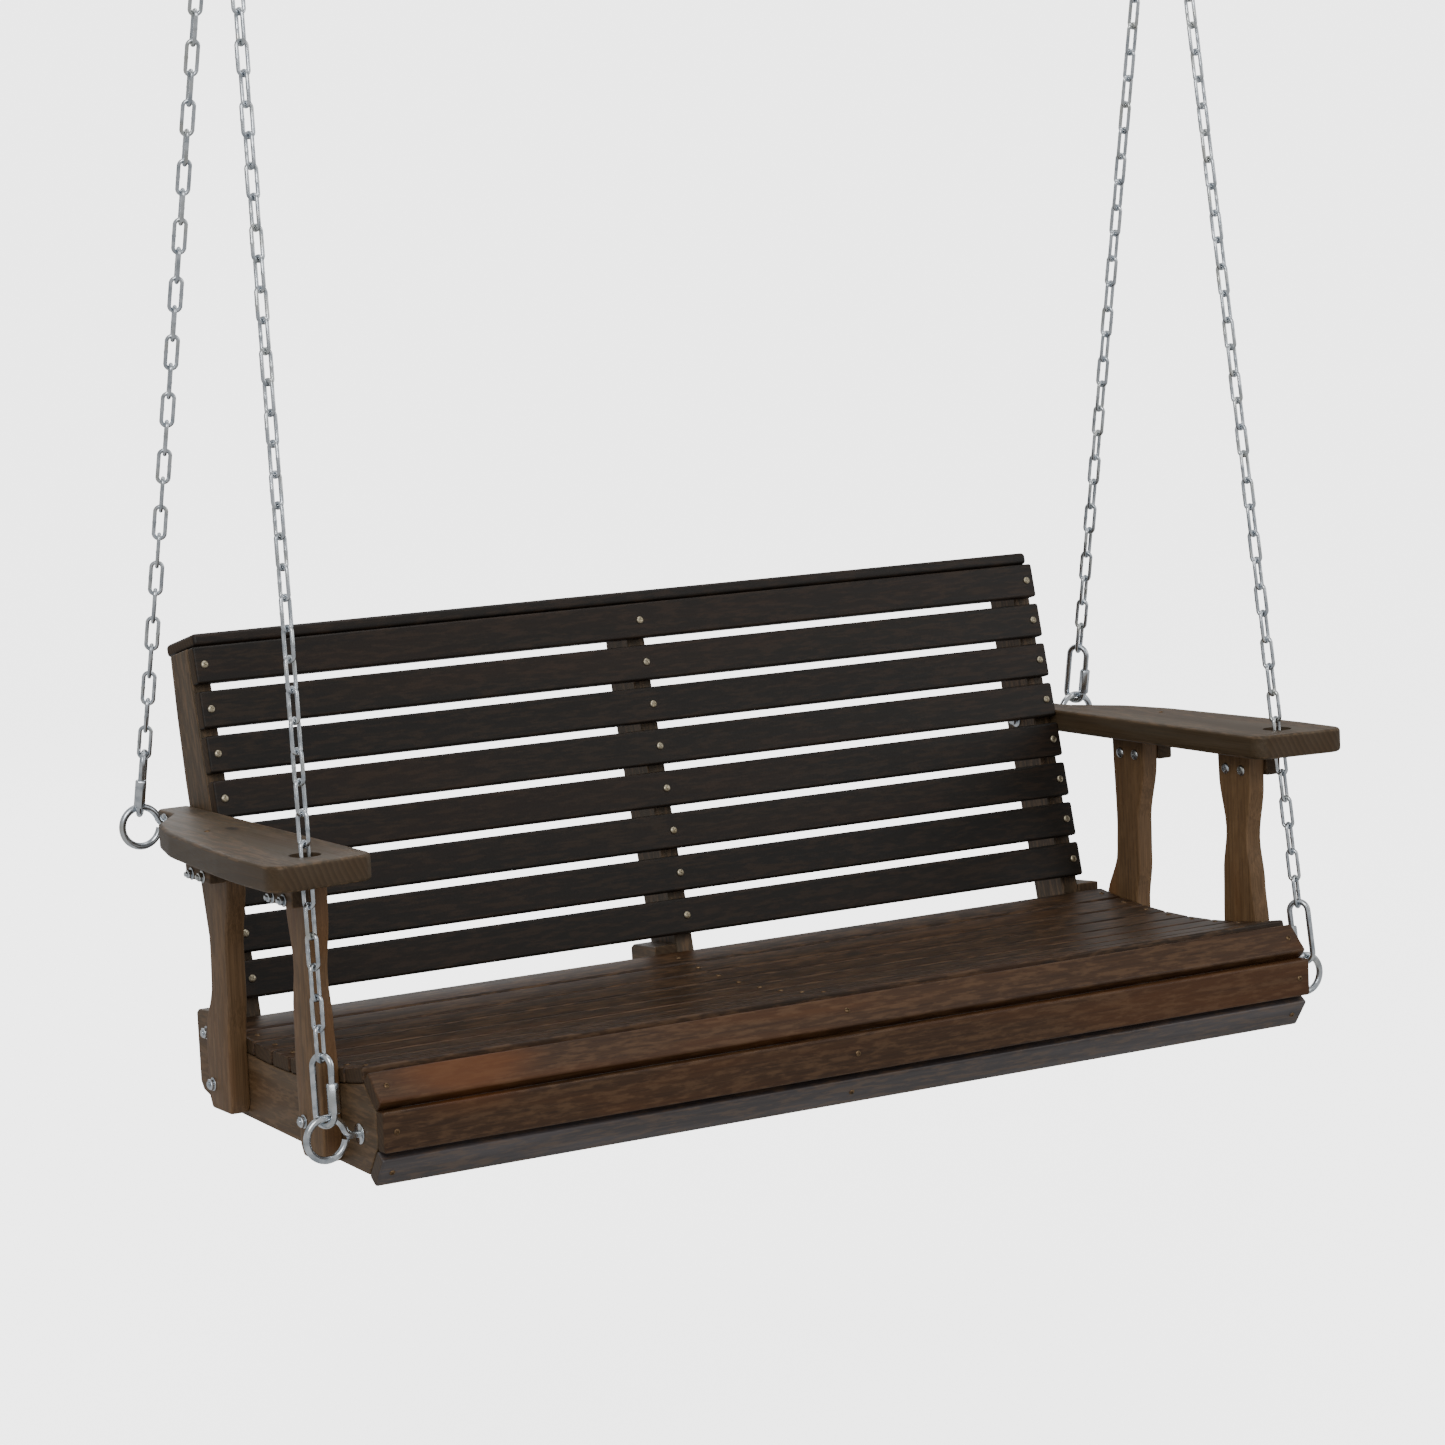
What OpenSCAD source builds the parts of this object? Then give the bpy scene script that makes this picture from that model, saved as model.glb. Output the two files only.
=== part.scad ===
// Hanging two-seat garden bench: slatted timber bench, steel link chains, ceiling hangers.
// X runs along the bench, -Y is the front, +Z is up.
// The origin lies on the ceiling plane, midway between the two hanger plates.
// The bench is drawn level in its own frame and then hung with a slight backward lean.

/* [Back] */
// Length of every back slat
back_len = 1220; // [1100:10:1500]
// Height of one back slat
back_slat_w = 45; // [38:1:48]
// Distance from one back slat to the next
back_pitch = 54.2; // [50:0.2:56]
// Number of back slats
back_count = 8; // [6:1:8]
// Lean of the back from the bench's own vertical
back_angle = 13; // [8:1:16]
// Thickness of all slats
slat_t = 18; // [16:1:20]
// Width of a back stile along the bench
stile_t = 25; // [22:1:30]
// Depth of a back stile
stile_d = 66; // [56:1:70]
// Thickness of the cap rail
cap_t = 16; // [14:1:20]

/* [Seat] */
// Thickness of each seat side board
sill_t = 32; // [28:1:38]
// Number of seat slats
seat_count = 8; // [8:1:8]
// Gap between neighbouring seat slats
seat_gap = 3; // [2:0.5:5]
// Depth of the hollow across the seat
seat_sag = 17; // [10:1:20]

/* [Arms] */
// Thickness of the arm rests
arm_t = 30; // [26:1:34]
// Height of the arm rest underside over the seat side board's foot
arm_z = 317; // [300:1:330]
// Thickness of the arm supports
support_t = 24; // [20:1:26]
// Thickness of the cleats under the arm rests
cleat_t = 22; // [18:1:24]
// Diameter of the chain hole through the arm rest
arm_hole_d = 36; // [34:1:40]

/* [Hardware] */
// Wire thickness of the chain
chain_wire = 4.8; // [4.5:0.1:5.2]
// Outer width of a chain link
chain_w = 18; // [17:0.5:20]
// Wanted spacing of the chain links
chain_pitch = 33.6; // [33:0.1:36]
// Wire thickness of the eye bolts
eye_wire = 8.5; // [8:0.1:9]
// Radius of the eye ring to the middle of its wire
eye_r = 23.6; // [22:0.1:24]
// Wire thickness of the screw links
quick_wire = 7.5; // [7:0.1:8]
// Outer width of a screw link
quick_w = 32; // [30:1:36]
// Outer length of a screw link
quick_l = 85; // [80:1:90]
// Free space kept between linked rings
link_gap = 0.5; // [0.4:0.1:0.8]

/* [Hanging] */
// Backward lean of the hung bench
hang_tilt = 3.9; // [0:0.1:5]
// Distance of each hanger from the middle of the bench
hanger_x = 640; // [600:5:690]
// Height of the joining ring's centre over the foot of the seat
hang_height = 1593; // [1400:1:1800]
// Depth of the joining ring's centre in front of the back
hang_y = -297; // [-330:1:-260]
// Radius of the pivot pins
pin_r = 5; // [5:0.5:6]
// Radial running clearance of the pivot bushes
pin_clear = 0.06; // [0.03:0.01:0.1]
// Spacing of the two screw holes in a hanger plate
plate_pitch = 80; // [80:1:90]
// Radius of the screw holes in a hanger plate
plate_hole_r = 4.5; // [4:0.1:5]

/* [Hidden] */
$fn = 48;

slat_r = 3.5;
row0_z = 520;
half = back_len / 2;
sill_x = half + sill_t / 2;
seat_len = back_len + 2 * sill_t;
outer_x = half + sill_t;
centre_sill_x = -(stile_t + sill_t) / 2;
screw_hole_r = 2;
screw_r = 1.95;

// Seat hollow: an arc through the rear and the front edge of the seat
seat_rear = [-83, 106];
seat_front = [-477, 112];
seat_chord = norm(seat_rear - seat_front);
seat_tilt = atan2(seat_rear[1] - seat_front[1], seat_rear[0] - seat_front[0]);
seat_R = (pow(seat_chord / 2, 2) + pow(seat_sag, 2)) / (2 * seat_sag);
seat_beta = asin(seat_chord / 2 / seat_R);
seat_c = (seat_rear + seat_front) / 2
  + (seat_R - seat_sag) * [-sin(seat_tilt), cos(seat_tilt)];
seat_step = 2 * seat_beta / seat_count;
seat_slat_w = 2 * PI * seat_R * seat_step / 360 - seat_gap;

// Outer faces of the three front slats, each from its upper to its lower edge
face_top = [[-489.5, 108.4], [-519, 78.5]];
face_mid = [[-524.5, 68], [-524.5, 22]];
face_low = [[-518.05, 12.47], [-494.5, -20.5]];

// Eye ring centres in the bench's frame, as [x, y, z] for the right-hand side
eye_front = [683, -463, 35];
eye_rear = [684, 19, 332];
pin_z = -32;
eye_loop_z = -66;
eye_loop_r = 14;
ring_r = 26;
ring_wire = 7;
ring_z = eye_loop_z - eye_loop_r + 8 + link_gap - ring_r;
ring_c = [hanger_x, 0, ring_z];

// From the bench's frame to the hung position
function hung(p) = [
  p[0],
  (p[1] - hang_y) * cos(hang_tilt) + (p[2] - hang_height) * sin(hang_tilt),
  -(p[1] - hang_y) * sin(hang_tilt) + (p[2] - hang_height) * cos(hang_tilt) + ring_z
];
module bench() {
  translate([0, 0, ring_z]) rotate([-hang_tilt, 0, 0]) translate([0, -hang_y, -hang_height])
    children();
}
module side(s) {
  mirror([s < 0 ? 1 : 0, 0, 0]) children();
}

// Board helpers: rounded section in the Y-Z plane, swept along X
module rounded(a, b, r) {
  square([a - 2 * r, b], center = true);
  square([a, b - 2 * r], center = true);
  for (i = [-1, 1], j = [-1, 1]) translate([i * (a / 2 - r), j * (b / 2 - r)]) circle(r);
}
module board(length, a, b, r) {
  rotate([90, 0, 90]) linear_extrude(length, center = true) rounded(a, b, r);
}
module sweep_x(x0, x1) {
  translate([x0, 0, 0]) rotate([90, 0, 90]) linear_extrude(x1 - x0) children();
}

// Screws: a pan head on a plain shank, pointing along +Y
module wood_screw(length, head) {
  rotate([-90, 0, 0]) cylinder(r = screw_r, h = length);
  rotate([90, 0, 0]) cylinder(r1 = head, r2 = head * 0.62, h = 2.4);
}
module pilot(length) {
  rotate([-90, 0, 0]) translate([0, 0, -1]) cylinder(r = screw_hole_r, h = length + 1);
}
screw_rows = [-half + stile_t / 2, 0, half - stile_t / 2];
seat_rows = [-sill_x, centre_sill_x, sill_x];

// Back, in the plane of the slats: local Z runs up the back, local Y to the rear
module back_plane() {
  translate([0, 0, row0_z]) rotate([-back_angle, 0, 0]) children();
}
module back_pilots() {
  for (k = [0 : back_count - 1], x = screw_rows)
    translate([x, -1, -k * back_pitch]) pilot(41);
}
module back_slat(k) {
  color("#332a24") bench() back_plane() difference() {
    translate([0, slat_t / 2, -(k - 1) * back_pitch]) board(back_len, slat_t, back_slat_w, slat_r);
    for (x = screw_rows) translate([x, -1, -(k - 1) * back_pitch]) pilot(41);
  }
}
stile_top = back_slat_w / 2 + 0.5;
module stile(x) {
  color("#46382c") bench() difference() {
    back_plane() difference() {
      sweep_x(x - stile_t / 2, x + stile_t / 2) polygon([
        [slat_t, -540], [slat_t + stile_d, -540], [slat_t + stile_d, -130],
        [slat_t + stile_d - 4, -50], [slat_t + stile_d - 11, stile_top],
        [slat_t, stile_top]
      ]);
      back_pilots();
    }
    translate([x - 50, -300, -200]) cube([100, 500, 212]);
    bolt_bores();
  }
}
cap_y0 = 4;
cap_y1 = slat_t + stile_d + 9;
module cap_rail() {
  color("#3a2e26") bench() back_plane()
    translate([0, (cap_y0 + cap_y1) / 2, stile_top + cap_t / 2])
      board(back_len - 8, cap_y1 - cap_y0, cap_t, 6);
}

// Seat side boards with their hollowed top and faceted front
function inner(f) = let (d = (f[1] - f[0]) / norm(f[1] - f[0]))
  [for (p = f) p + slat_t * [-d[1], d[0]]];
in_top = inner(face_top);
in_mid = inner(face_mid);
in_low = inner(face_low);
module sill_shape() {
  polygon([[-14, 22], [-14, 106], [-20, 110], [-78, 114], [-78, 2], [-41, 7], [-22, 12]]);
  difference() {
    polygon([
      [-77.9, 110], [in_top[0][0] + 2, 110], [in_top[0][0], in_top[0][1]],
      [in_top[1][0], in_top[1][1]], [in_mid[0][0], in_top[1][1] - 0.5],
      [in_mid[1][0], in_low[0][1] + 5.3], [in_low[1][0], in_low[1][1] + 1], [-77.9, 5.5]
    ]);
    intersection() {
      translate(seat_c) circle(seat_R + slat_t + 0.3, $fn = 360);
      translate([-578.3, 60]) square([500, 90]);
    }
  }
}
module sill(x) {
  color("#473a2c") bench() difference() {
    sweep_x(x - sill_t / 2, x + sill_t / 2) sill_shape();
    seat_pilots(40);
    front_pilots(40);
    bolt_bores();
  }
}
module seat_place(k) {
  psi = seat_beta - (k - 0.5) * seat_step + seat_tilt;
  translate([0, seat_c[0], seat_c[1]]) rotate([psi, 0, 0]) translate([0, 0, -seat_R]) children();
}
module seat_pilots(deep) {
  for (k = [1 : seat_count], x = seat_rows)
    seat_place(k) translate([x, 0, 1]) rotate([-90, 0, 0]) pilot(deep);
}
module seat_slat(k) {
  color("#4e3e2e") bench() difference() {
    seat_place(k) translate([0, 0, -slat_t / 2]) board(seat_len, seat_slat_w, slat_t, slat_r);
    for (x = seat_rows) seat_place(k) translate([x, 0, 1]) rotate([-90, 0, 0]) pilot(40);
  }
}
// Front slats: local Y points into the bench
module face_place(f) {
  m = (f[0] + f[1]) / 2;
  translate([0, m[0], m[1]]) rotate([atan2(f[0][1] - f[1][1], f[0][0] - f[1][0]) - 90, 0, 0])
    children();
}
module front_pilots(deep) {
  for (f = [face_top, face_mid, face_low], x = seat_rows)
    face_place(f) translate([x, -1, 0]) pilot(deep);
}
module front_slat(f) {
  color("#54402f") bench() difference() {
    face_place(f) translate([0, slat_t / 2, 0]) board(seat_len, slat_t, norm(f[1] - f[0]), slat_r);
    for (x = seat_rows) face_place(f) translate([x, -1, 0]) pilot(40);
  }
}

// Arm supports: waved boards, given by a few widths joined by smooth steps
function smooth(t) = t * t * (3 - 2 * t);
function wave(keys, z) = let (
    n = len(keys) - 1,
    i = max([for (j = [0 : n - 1]) z <= keys[j][0] + 0.001 ? j : 0]),
    t = (keys[i][0] - z) / (keys[i][0] - keys[i + 1][0])
  ) keys[i][1] + (keys[i + 1][1] - keys[i][1]) * smooth(min(1, max(0, t)));
function edge(keys, n) = let (z0 = keys[0][0], z1 = keys[len(keys) - 1][0])
  [for (i = [0 : n]) let (z = z0 + (z1 - z0) * i / n) [wave(keys, z), z]];
function flip(v) = [for (i = [len(v) - 1 : -1 : 0]) v[i]];
rear_foot = 7;
front_foot = -5;
rear_back = [[arm_z, -120], [200, -124], [160, -122], [95, -97], [rear_foot + 12, -97],
  [rear_foot, -103]];
rear_face = [[arm_z, -190], [285, -189], [205, -173], [150, -172], [95, -164],
  [rear_foot + 12, -163], [rear_foot, -157]];
front_back = [[arm_z, -348], [285, -349], [215, -361], [160, -353], [95, -351],
  [front_foot + 12, -353], [front_foot, -360]];
front_face = [[arm_z, -416], [275, -415], [205, -404], [150, -412], [95, -418],
  [front_foot + 12, -417], [front_foot, -411]];
module support(s, back_keys, face_keys) {
  color("#523a28") bench() side(s) difference() {
    sweep_x(outer_x, outer_x + support_t)
      polygon(concat(edge(face_keys, 22), flip(edge(back_keys, 22))));
    bolt_bores_right();
  }
}
module cleats() {
  color("#3f3328") bench() for (s = [-1, 1]) side(s) difference() {
    for (y = [-122, -351])
      translate([outer_x + support_t, y - 69, arm_z - 30]) cube([cleat_t, 71, 30]);
    bolt_bores_right();
    translate([682, -178, arm_z + 1]) rotate([-90, 0, 0]) pilot(20);
  }
}

// Arm rests: paddle shaped, narrow at the rear, with the chain hole near the front
arm_hole = [674.5, -432];
arm_flat = 652.9;
// Rounds each corner given as [x, y, radius]
function corner(a, p, b, r, n = 7) = let (
    u = (a - p) / norm(a - p), v = (b - p) / norm(b - p),
    g = acos(u * v), m = (u + v) / norm(u + v), c = p + m * r / sin(g / 2),
    q = p + u * r / tan(g / 2) - c, s = sign(v[0] * u[1] - v[1] * u[0]), turn = s * (180 - g)
  ) [for (k = [0 : n]) let (w = turn * k / n)
    c + [q[0] * cos(w) - q[1] * sin(w), q[0] * sin(w) + q[1] * cos(w)]];
function fillet(v) = let (n = len(v)) [for (i = [0 : n - 1]) let (
    p = [v[i][0], v[i][1]], a = v[(i + n - 1) % n], b = v[(i + 1) % n])
  each v[i][2] <= 0 ? [p] : corner([a[0], a[1]], p, [b[0], b[1]], v[i][2])];
arm_plan = fillet([
  [half, 47, 0], [arm_flat, 47, 8], [arm_flat, -6, 10], [700, -74, 60], [720, -150, 150],
  [737, -330, 400], [741, -400, 0], [741, -493.6, 24], [half, -478.9, 24]
]);
module arm_shape() {
  difference() {
    polygon(arm_plan);
    translate(arm_hole) circle(arm_hole_d / 2);
  }
}
module arm(s) {
  color("#6b6152") bench() side(s) difference() {
    translate([0, 0, arm_z]) linear_extrude(arm_t) arm_shape();
    bolt_bores_right();
    translate([682, -178, arm_z + arm_t + 1]) rotate([-90, 0, 0]) pilot(50);
  }
}

// Bolts along X, as [y, z, x of the head, x of the nut, radius]
top_bolts = [for (y = [-139, -171, -366, -398]) [y, 294, outer_x, outer_x + support_t + cleat_t, 3]];
foot_bolts = [for (p = [[-112, 37], [-368, 36]])
  [p[0], p[1], outer_x + support_t, half + 3.5, 4]];
stile_bolts = [[-44, 85, outer_x, half - stile_t, 4]];
bolt_play = 0.25;
module bore_x(b, x0, x1, r) {
  translate([x0, b[0], b[1]]) rotate([0, 90, 0]) cylinder(r = r, h = x1 - x0);
}
module bolt_bores_right() {
  for (b = concat(top_bolts, foot_bolts, stile_bolts))
    bore_x(b, min(b[2], b[3]) - 12, max(b[2], b[3]) + 12, b[4] + bolt_play);
  bore_x([eye_rear[1], eye_rear[2]], half - stile_t - 20, 730, eye_wire / 2 + bolt_play);
  bore_x([eye_front[1], eye_front[2]], half - 20, outer_x + 60, eye_wire / 2 + bolt_play);
  for (b = foot_bolts) bore_x(b, half - 10, half + 12, 8);
}
module bolt_bores() {
  for (s = [-1, 1]) side(s) bolt_bores_right();
  bore_x([-44, 85], -60, 30, 4 + bolt_play);
  bore_x([-44, 40], -60, 30, 4 + bolt_play);
}
module nut(r, h) {
  cylinder(r = r, h = h, $fn = 6);
}
// Carriage bolts: domed heads on the inner faces, washers and nuts on the cleats
module carriage_bolts() {
  color("#b9bfc4") bench() for (s = [-1, 1], b = top_bolts) side(s) translate([b[2], b[0], b[1]])
    rotate([0, 90, 0]) {
      translate([0, 0, -1]) cylinder(r = b[4], h = b[3] - b[2] + 10);
      intersection() {
        translate([0, 0, 5.6]) sphere(9.2);
        translate([0, 0, -4]) cylinder(r = 7.2, h = 4);
      }
      translate([0, 0, b[3] - b[2]]) cylinder(r = 7.5, h = 1.4);
      translate([0, 0, b[3] - b[2] + 1.4]) nut(5.77, 4.8);
    }
}
// Frame bolts: hexagon bolts with washers through the feet and the stiles
module frame_bolt(b) {
  x0 = min(b[2], b[3]);
  x1 = max(b[2], b[3]);
  translate([x0, b[0], b[1]]) rotate([0, 90, 0]) {
    translate([0, 0, -3.3]) cylinder(r = b[4], h = x1 - x0 + 11);
    translate([0, 0, x1 - x0]) cylinder(r = 8, h = 1.5);
    translate([0, 0, x1 - x0 + 1.5]) nut(6.9, 4.6);
  }
}
module frame_bolts() {
  color("#aab1b6") bench() {
    for (s = [-1, 1]) side(s) {
      for (b = concat(foot_bolts, stile_bolts)) frame_bolt(b);
      translate([half - stile_t, stile_bolts[0][0], stile_bolts[0][1]]) rotate([0, -90, 0])
        nut(6.9, 3);
      for (b = foot_bolts) translate([half + 12, b[0], b[1]]) rotate([0, -90, 0]) nut(6.9, 5);
    }
    for (z = [85, 40]) frame_bolt([-44, z, -(stile_t / 2 + sill_t), stile_t / 2, 4]);
    for (z = [85, 40]) translate([-(stile_t / 2 + sill_t), -44, z]) rotate([0, -90, 0]) nut(6.9, 3);
  }
}
// Wood screws through the slats, the arm rests and the front
module wood_screws() {
  color("#b5a678") bench() {
    back_plane() for (k = [0 : back_count - 1], x = screw_rows)
      translate([x, 0, -k * back_pitch]) wood_screw(38, 4.3);
    for (k = [1 : seat_count], x = seat_rows)
      seat_place(k) translate([x, 0, 0]) rotate([-90, 0, 0]) wood_screw(36, 3.6);
    for (f = [face_top, face_mid, face_low], x = seat_rows)
      face_place(f) translate([x, 0, 0]) wood_screw(36, 4);
    for (s = [-1, 1]) side(s)
      translate([682, -178, arm_z + arm_t]) rotate([-90, 0, 0]) wood_screw(45, 3.6);
  }
}

// Rings and links: a closed oval of round wire, long axis along Z, flat in the X-Z plane
module half_ring(r, w) {
  rotate([90, 0, 0]) rotate_extrude(angle = 180) translate([r, 0]) circle(w / 2, $fn = 32);
}
module oval(inner_l, outer_w, w) {
  r = (outer_w - w) / 2;
  h = inner_l + w - 2 * r;
  translate([0, 0, h / 2]) half_ring(r, w);
  translate([0, 0, -h / 2]) rotate([0, 180, 0]) half_ring(r, w);
  for (s = [-1, 1]) translate([s * r, 0, 0])
    cylinder(r = w / 2, h = h + 0.02, center = true, $fn = 32);
}
module full_ring(r, w) {
  rotate([90, 0, 0]) rotate_extrude() translate([r, 0]) circle(w / 2, $fn = 32);
}

// Each line starts at the wire of the eye ring and ends at the wire of the joining ring
function ring_up(e) = let (
    d = ring_c - hung(e), b = [0, sin(hang_tilt), cos(hang_tilt)], u = [d[0], 0, 0] + (d * b) * b
  ) u / norm(u);
function line_from(e) = hung(e) + eye_r * ring_up(e);
function line_to(e) = let (v = ring_c - line_from(e), w = [0, v[1], v[2]])
  ring_c - ring_r * w / norm(w);
function line_len(e) = norm(line_to(e) - line_from(e));
function line_dir(e) = (line_to(e) - line_from(e)) / line_len(e);
module along(e) {
  d = line_dir(e);
  translate(line_from(e)) rotate([0, atan2(d[0], d[2]), 0])
    rotate([-asin(d[1]), 0, 0]) children();
}
function q_low() = -(eye_wire + quick_wire) / 2 - link_gap;
function q_mid() = q_low() + (quick_l - quick_wire) / 2;
function c_start() = q_low() + quick_l - quick_wire - (quick_wire + chain_wire) / 2 - link_gap;
function c_end(e) = line_len(e) + (ring_wire + chain_wire) / 2 + link_gap;
function c_count(e) = round((c_end(e) - c_start() - chain_wire - link_gap) / chain_pitch);
function c_step(e) = (c_end(e) - c_start() - chain_wire - 0.3) / c_count(e);
// The lowest link stands square to the screw link; the chain untwists evenly on its way up
module chain(s, e, twist) {
  n = c_count(e);
  p = c_step(e);
  color("#b4bbc0") side(s) along(e) for (i = [0 : n - 1])
    translate([0, 0, c_start() + i * p + (p + 0.3 + chain_wire) / 2])
      rotate([0, 0, ((n - 1 - i) % 2 == 0 ? 0 : 90) + twist * (1 - i / (n - 1))])
        oval(p + 0.3, chain_w, chain_wire);
}

// Screw link: one limb is open and is closed by its threaded sleeve
limb_x = (quick_w - quick_wire) / 2;
module quick(s, e, twist) {
  color("#aab4b9") side(s) along(e) translate([0, 0, q_mid()]) rotate([0, 0, twist])
    difference() {
      oval(quick_l - 2 * quick_wire, quick_w, quick_wire);
      translate([limb_x, 0, -24]) cylinder(r = quick_wire, h = 9.6);
    }
}
module sleeve(s, e, twist) {
  color("#9aa5ab") side(s) along(e) translate([0, 0, q_mid()]) rotate([0, 0, twist])
    translate([limb_x, 0, -26]) difference() {
      union() {
        cylinder(r = 6.2, h = 34);
        translate([0, 0, 1.2]) nut(6.9, 31.6);
      }
      translate([0, 0, -1]) cylinder(r = quick_wire / 2 + 0.05, h = 36);
    }
}

// Eye bolts: ring, shank along X, washer and nut
module eye_bolt(s, e, face, back) {
  color("#aeb6bb") bench() side(s) translate(e) {
    full_ring(eye_r, eye_wire);
    shank = e[0] - eye_r - back + 12;
    translate([-eye_r - shank, 0, 0]) rotate([0, 90, 0]) cylinder(r = eye_wire / 2, h = shank);
    translate([face - e[0], 0, 0]) rotate([0, 90, 0]) difference() {
      cylinder(r = 12, h = 1.8);
      translate([0, 0, -1]) cylinder(r = eye_wire / 2, h = 4);
    }
    translate([back - e[0] - 1.6, 0, 0]) rotate([0, 90, 0]) difference() {
      cylinder(r = 11, h = 1.6);
      translate([0, 0, -1]) cylinder(r = eye_wire / 2, h = 4);
    }
    translate([back - e[0] - 8, 0, 0]) rotate([0, 90, 0]) difference() {
      nut(8.1, 6.4);
      translate([0, 0, -1]) cylinder(r = eye_wire / 2, h = 9);
    }
  }
}

// Joining rings, swing eyes and ceiling hangers
module join_ring(s) {
  color("#aeb6bb") side(s) translate(ring_c) rotate([0, 0, 90]) full_ring(ring_r, ring_wire);
}
module swing_eye(s) {
  color("#8f979c") side(s) translate([hanger_x, 0, 0]) difference() {
    union() {
      translate([0, 0, eye_loop_z]) full_ring(eye_loop_r, 8);
      translate([0, 0, eye_loop_z + eye_loop_r - 1]) cylinder(r = 5, h = 14);
      translate([-10, 0, pin_z]) rotate([0, 90, 0]) cylinder(r = 9, h = 20);
    }
    translate([-12, 0, pin_z]) rotate([0, 90, 0]) cylinder(r = pin_r + pin_clear, h = 24);
  }
}
module hanger(s) {
  color("#8c9499") side(s) translate([hanger_x, 0, 0]) difference() {
    union() {
      translate([-22, -60, -5]) cube([44, 120, 5]);
      for (x = [-15.5, 10.5]) {
        translate([x, -15, pin_z]) cube([5, 30, -pin_z - 4]);
        translate([x, 0, pin_z]) rotate([0, 90, 0]) cylinder(r = 15, h = 5);
      }
    }
    for (y = [-plate_pitch / 2, plate_pitch / 2])
      translate([0, y, -6]) cylinder(r = plate_hole_r, h = 8);
    translate([-20, 0, pin_z]) rotate([0, 90, 0]) cylinder(r = pin_r, h = 40);
  }
}
module hanger_pins() {
  color("#a3abb0") for (s = [-1, 1]) side(s) translate([hanger_x, 0, pin_z])
    rotate([0, 90, 0]) {
      translate([0, 0, -15.5]) cylinder(r = pin_r, h = 43);
      translate([0, 0, -21.5]) nut(9, 6);
      translate([0, 0, 15.5]) cylinder(r = 10, h = 1.6);
      translate([0, 0, 17.1]) nut(9, 7);
    }
}

hanger(-1);  // hanger_left
hanger(1);  // hanger_right
hanger_pins();
swing_eye(-1);  // swing_eye_left
swing_eye(1);  // swing_eye_right
join_ring(-1);  // join_ring_left
join_ring(1);  // join_ring_right
chain(-1, eye_front, -30);  // chain_front_left
chain(1, eye_front, 30);  // chain_front_right
chain(-1, eye_rear, 30);  // chain_rear_left
chain(1, eye_rear, 30);  // chain_rear_right
quick(-1, eye_front, -120);  // quick_front_left
quick(1, eye_front, 120);  // quick_front_right
quick(-1, eye_rear, -60);  // quick_rear_left
quick(1, eye_rear, -60);  // quick_rear_right
sleeve(-1, eye_front, -120);  // sleeve_front_left
sleeve(1, eye_front, 120);  // sleeve_front_right
sleeve(-1, eye_rear, -60);  // sleeve_rear_left
sleeve(1, eye_rear, -60);  // sleeve_rear_right
eye_bolt(-1, eye_front, outer_x, half);  // eye_front_left
eye_bolt(1, eye_front, outer_x, half);  // eye_front_right
eye_bolt(-1, eye_rear, 652.9, half - stile_t);  // eye_rear_left
eye_bolt(1, eye_rear, 652.9, half - stile_t);  // eye_rear_right
stile(-half + stile_t / 2);  // stile_left
stile(0);  // stile_centre
stile(half - stile_t / 2);  // stile_right
sill(-sill_x);  // sill_left
sill(centre_sill_x);  // sill_centre
sill(sill_x);  // sill_right
back_slat(1);  // back_slat_1
back_slat(2);  // back_slat_2
back_slat(3);  // back_slat_3
back_slat(4);  // back_slat_4
back_slat(5);  // back_slat_5
back_slat(6);  // back_slat_6
back_slat(7);  // back_slat_7
back_slat(8);  // back_slat_8
cap_rail();
seat_slat(1);  // seat_slat_1
seat_slat(2);  // seat_slat_2
seat_slat(3);  // seat_slat_3
seat_slat(4);  // seat_slat_4
seat_slat(5);  // seat_slat_5
seat_slat(6);  // seat_slat_6
seat_slat(7);  // seat_slat_7
seat_slat(8);  // seat_slat_8
front_slat(face_top);  // front_slat_top
front_slat(face_mid);  // front_slat_middle
front_slat(face_low);  // front_slat_bottom
arm(-1);  // arm_left
arm(1);  // arm_right
support(-1, front_back, front_face);  // support_front_left
support(1, front_back, front_face);  // support_front_right
support(-1, rear_back, rear_face);  // support_rear_left
support(1, rear_back, rear_face);  // support_rear_right
cleats();
wood_screws();
carriage_bolts();
frame_bolts();
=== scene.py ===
"""Looks of the porch swing: stained softwood boards, zinc plated chain and fittings."""

import logging
import math
from collections.abc import Callable
from dataclasses import dataclass, field
from enum import Enum
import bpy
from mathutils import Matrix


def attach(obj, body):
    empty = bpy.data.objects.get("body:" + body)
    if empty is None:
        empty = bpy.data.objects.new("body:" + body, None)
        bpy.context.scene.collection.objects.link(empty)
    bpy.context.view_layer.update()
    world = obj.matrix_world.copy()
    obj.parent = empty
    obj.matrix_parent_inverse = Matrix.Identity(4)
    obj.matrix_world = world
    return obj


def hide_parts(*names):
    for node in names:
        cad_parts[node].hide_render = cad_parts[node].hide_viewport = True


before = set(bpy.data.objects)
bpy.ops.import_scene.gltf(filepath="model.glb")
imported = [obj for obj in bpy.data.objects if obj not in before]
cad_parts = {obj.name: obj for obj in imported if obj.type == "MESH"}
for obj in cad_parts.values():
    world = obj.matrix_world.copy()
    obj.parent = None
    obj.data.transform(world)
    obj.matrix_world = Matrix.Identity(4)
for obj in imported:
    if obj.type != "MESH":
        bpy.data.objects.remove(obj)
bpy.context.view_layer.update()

from types import TracebackType

import bpy
from mathutils import Matrix, Vector

Point = tuple[float, float, float]
Flat = tuple[float, float]
Keys = tuple[Flat, ...]
Object = bpy.types.Object
Material = bpy.types.Material
Socket = bpy.types.NodeSocket

log = logging.getLogger("porch_swing")
WHITE = (1.0, 1.0, 1.0, 1.0)
MM = 0.001
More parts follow.
